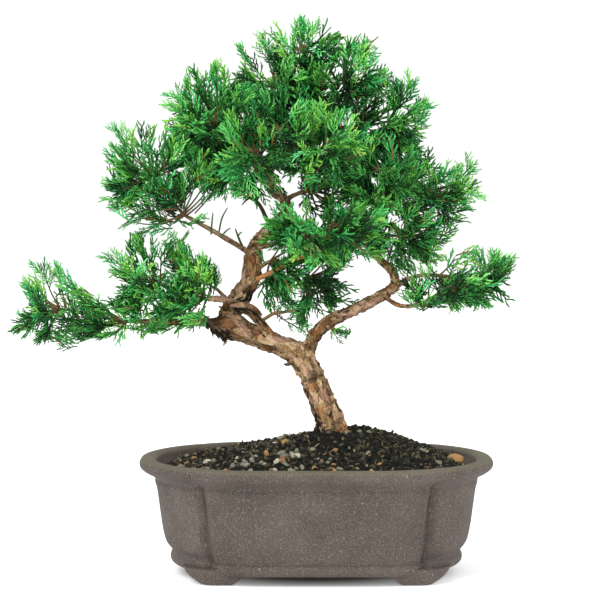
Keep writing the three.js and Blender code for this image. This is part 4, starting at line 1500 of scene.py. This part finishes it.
pebble_colours = soil_numbers(PEBBLE_COLOURS)
chip_colours = soil_numbers(CHIP_COLOURS)
shapes = scatter(GRIT_COUNT, GRIT_SIZES, GRAIN_FORM, grain_colours, anywhere)
shapes += scatter(CHIP_COUNT, CHIP_SIZES, CHIP_FORM, chip_colours, anywhere)
shapes += scatter(PEBBLE_COUNT, PEBBLE_SIZES, PEBBLE_FORM, pebble_colours, front_left)
ball, ball_faces = grain_shape(2)
ball = dented(ball, LARGE_PEBBLE_DENTS) * LARGE_PEBBLE_SIZE + LARGE_PEBBLE_PLACE
shapes.append((ball, ball_faces, pebble_colours[LARGE_PEBBLE_COLOUR]))
points, faces, colours = joined(shapes)
grit = piece_from("soil_grit", placed(points), faces, soil_finishes, colours, smooth=False)
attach(grit, "root")
print("grit faces:", len(grit.data.polygons))

# %% [markdown]
# ## Floor and light
# The plant stands on a pale studio floor in soft light from all round, with a broad lamp high
# on the left and a weaker one on the right, so that the needles keep their colour. The floor
# glows a little, and a shadow is painted on it under the pot, so that a faint shadow shows
# round the feet.

# %% Stage
WORLD_STRENGTH = 1.05
FLOOR_SIZE = 8
FLOOR_DROP = 0.0003
FLOOR_GLOW = 0.3
# The size of the painted shadow under the pot.
FLOOR_SHADE = (0.084, 0.056)
LAMP_AIM = (0, 0, 0.15)
LAMPS = {
    "key_lamp": ((-0.9, -1.1, 1.5), 0.9, 22),
    "fill_lamp": ((1.2, -0.9, 0.9), 1.2, 8),
}


def grey(level):
    return (level, level, level, 1)


def add_floor():
    only()
    bpy.ops.mesh.primitive_plane_add(size=FLOOR_SIZE, location=(0, 0, -FLOOR_DROP))
    floor = bpy.context.object
    floor.name = "floor"
    finish = Finish("floor_pale", roughness=1.0, gloss=0.0)
    wide, deep = FLOOR_SHADE
    away = finish.vector("MULTIPLY", finish.place(), (1 / wide, 1 / deep, 0))
    middle = (POT_MIDDLE[0] / wide, POT_MIDDLE[1] / deep, 0)
    away = finish.vector("SUBTRACT", away, middle)
    # Painted shadow: in an oval under the pot the floor turns dark and stops glowing.
    shade = finish.step(finish.vector("LENGTH", away, output=1), 1.1, 0.5)
    finish.give("Base Color", finish.mix(grey(0.9), grey(0.3), shade))
    finish.give("Emission Color", finish.mix(grey(1), grey(0.05), shade))
    finish.shader.inputs["Emission Strength"].default_value = FLOOR_GLOW
    floor.data.materials.append(finish.material)


def add_lamp(name, place, size, power):
    bpy.ops.object.light_add(type="AREA", location=place)
    lamp = bpy.context.object
    lamp.name = name
    lamp.data.size = size
    lamp.data.energy = power
    aim = Vector(LAMP_AIM) - Vector(place)
    lamp.rotation_euler = aim.to_track_quat("-Z", "Y").to_euler()


def set_world():
    world = bpy.data.worlds.new("studio")
    world.use_nodes = True
    background = world.node_tree.nodes["Background"]
    background.inputs["Color"].default_value = (1, 1, 1, 1)
    background.inputs["Strength"].default_value = WORLD_STRENGTH
    bpy.context.scene.world = world
    bpy.context.scene.view_settings.view_transform = "Standard"


add_floor()
for name, lamp in LAMPS.items():
    add_lamp(name, *lamp)
set_world()
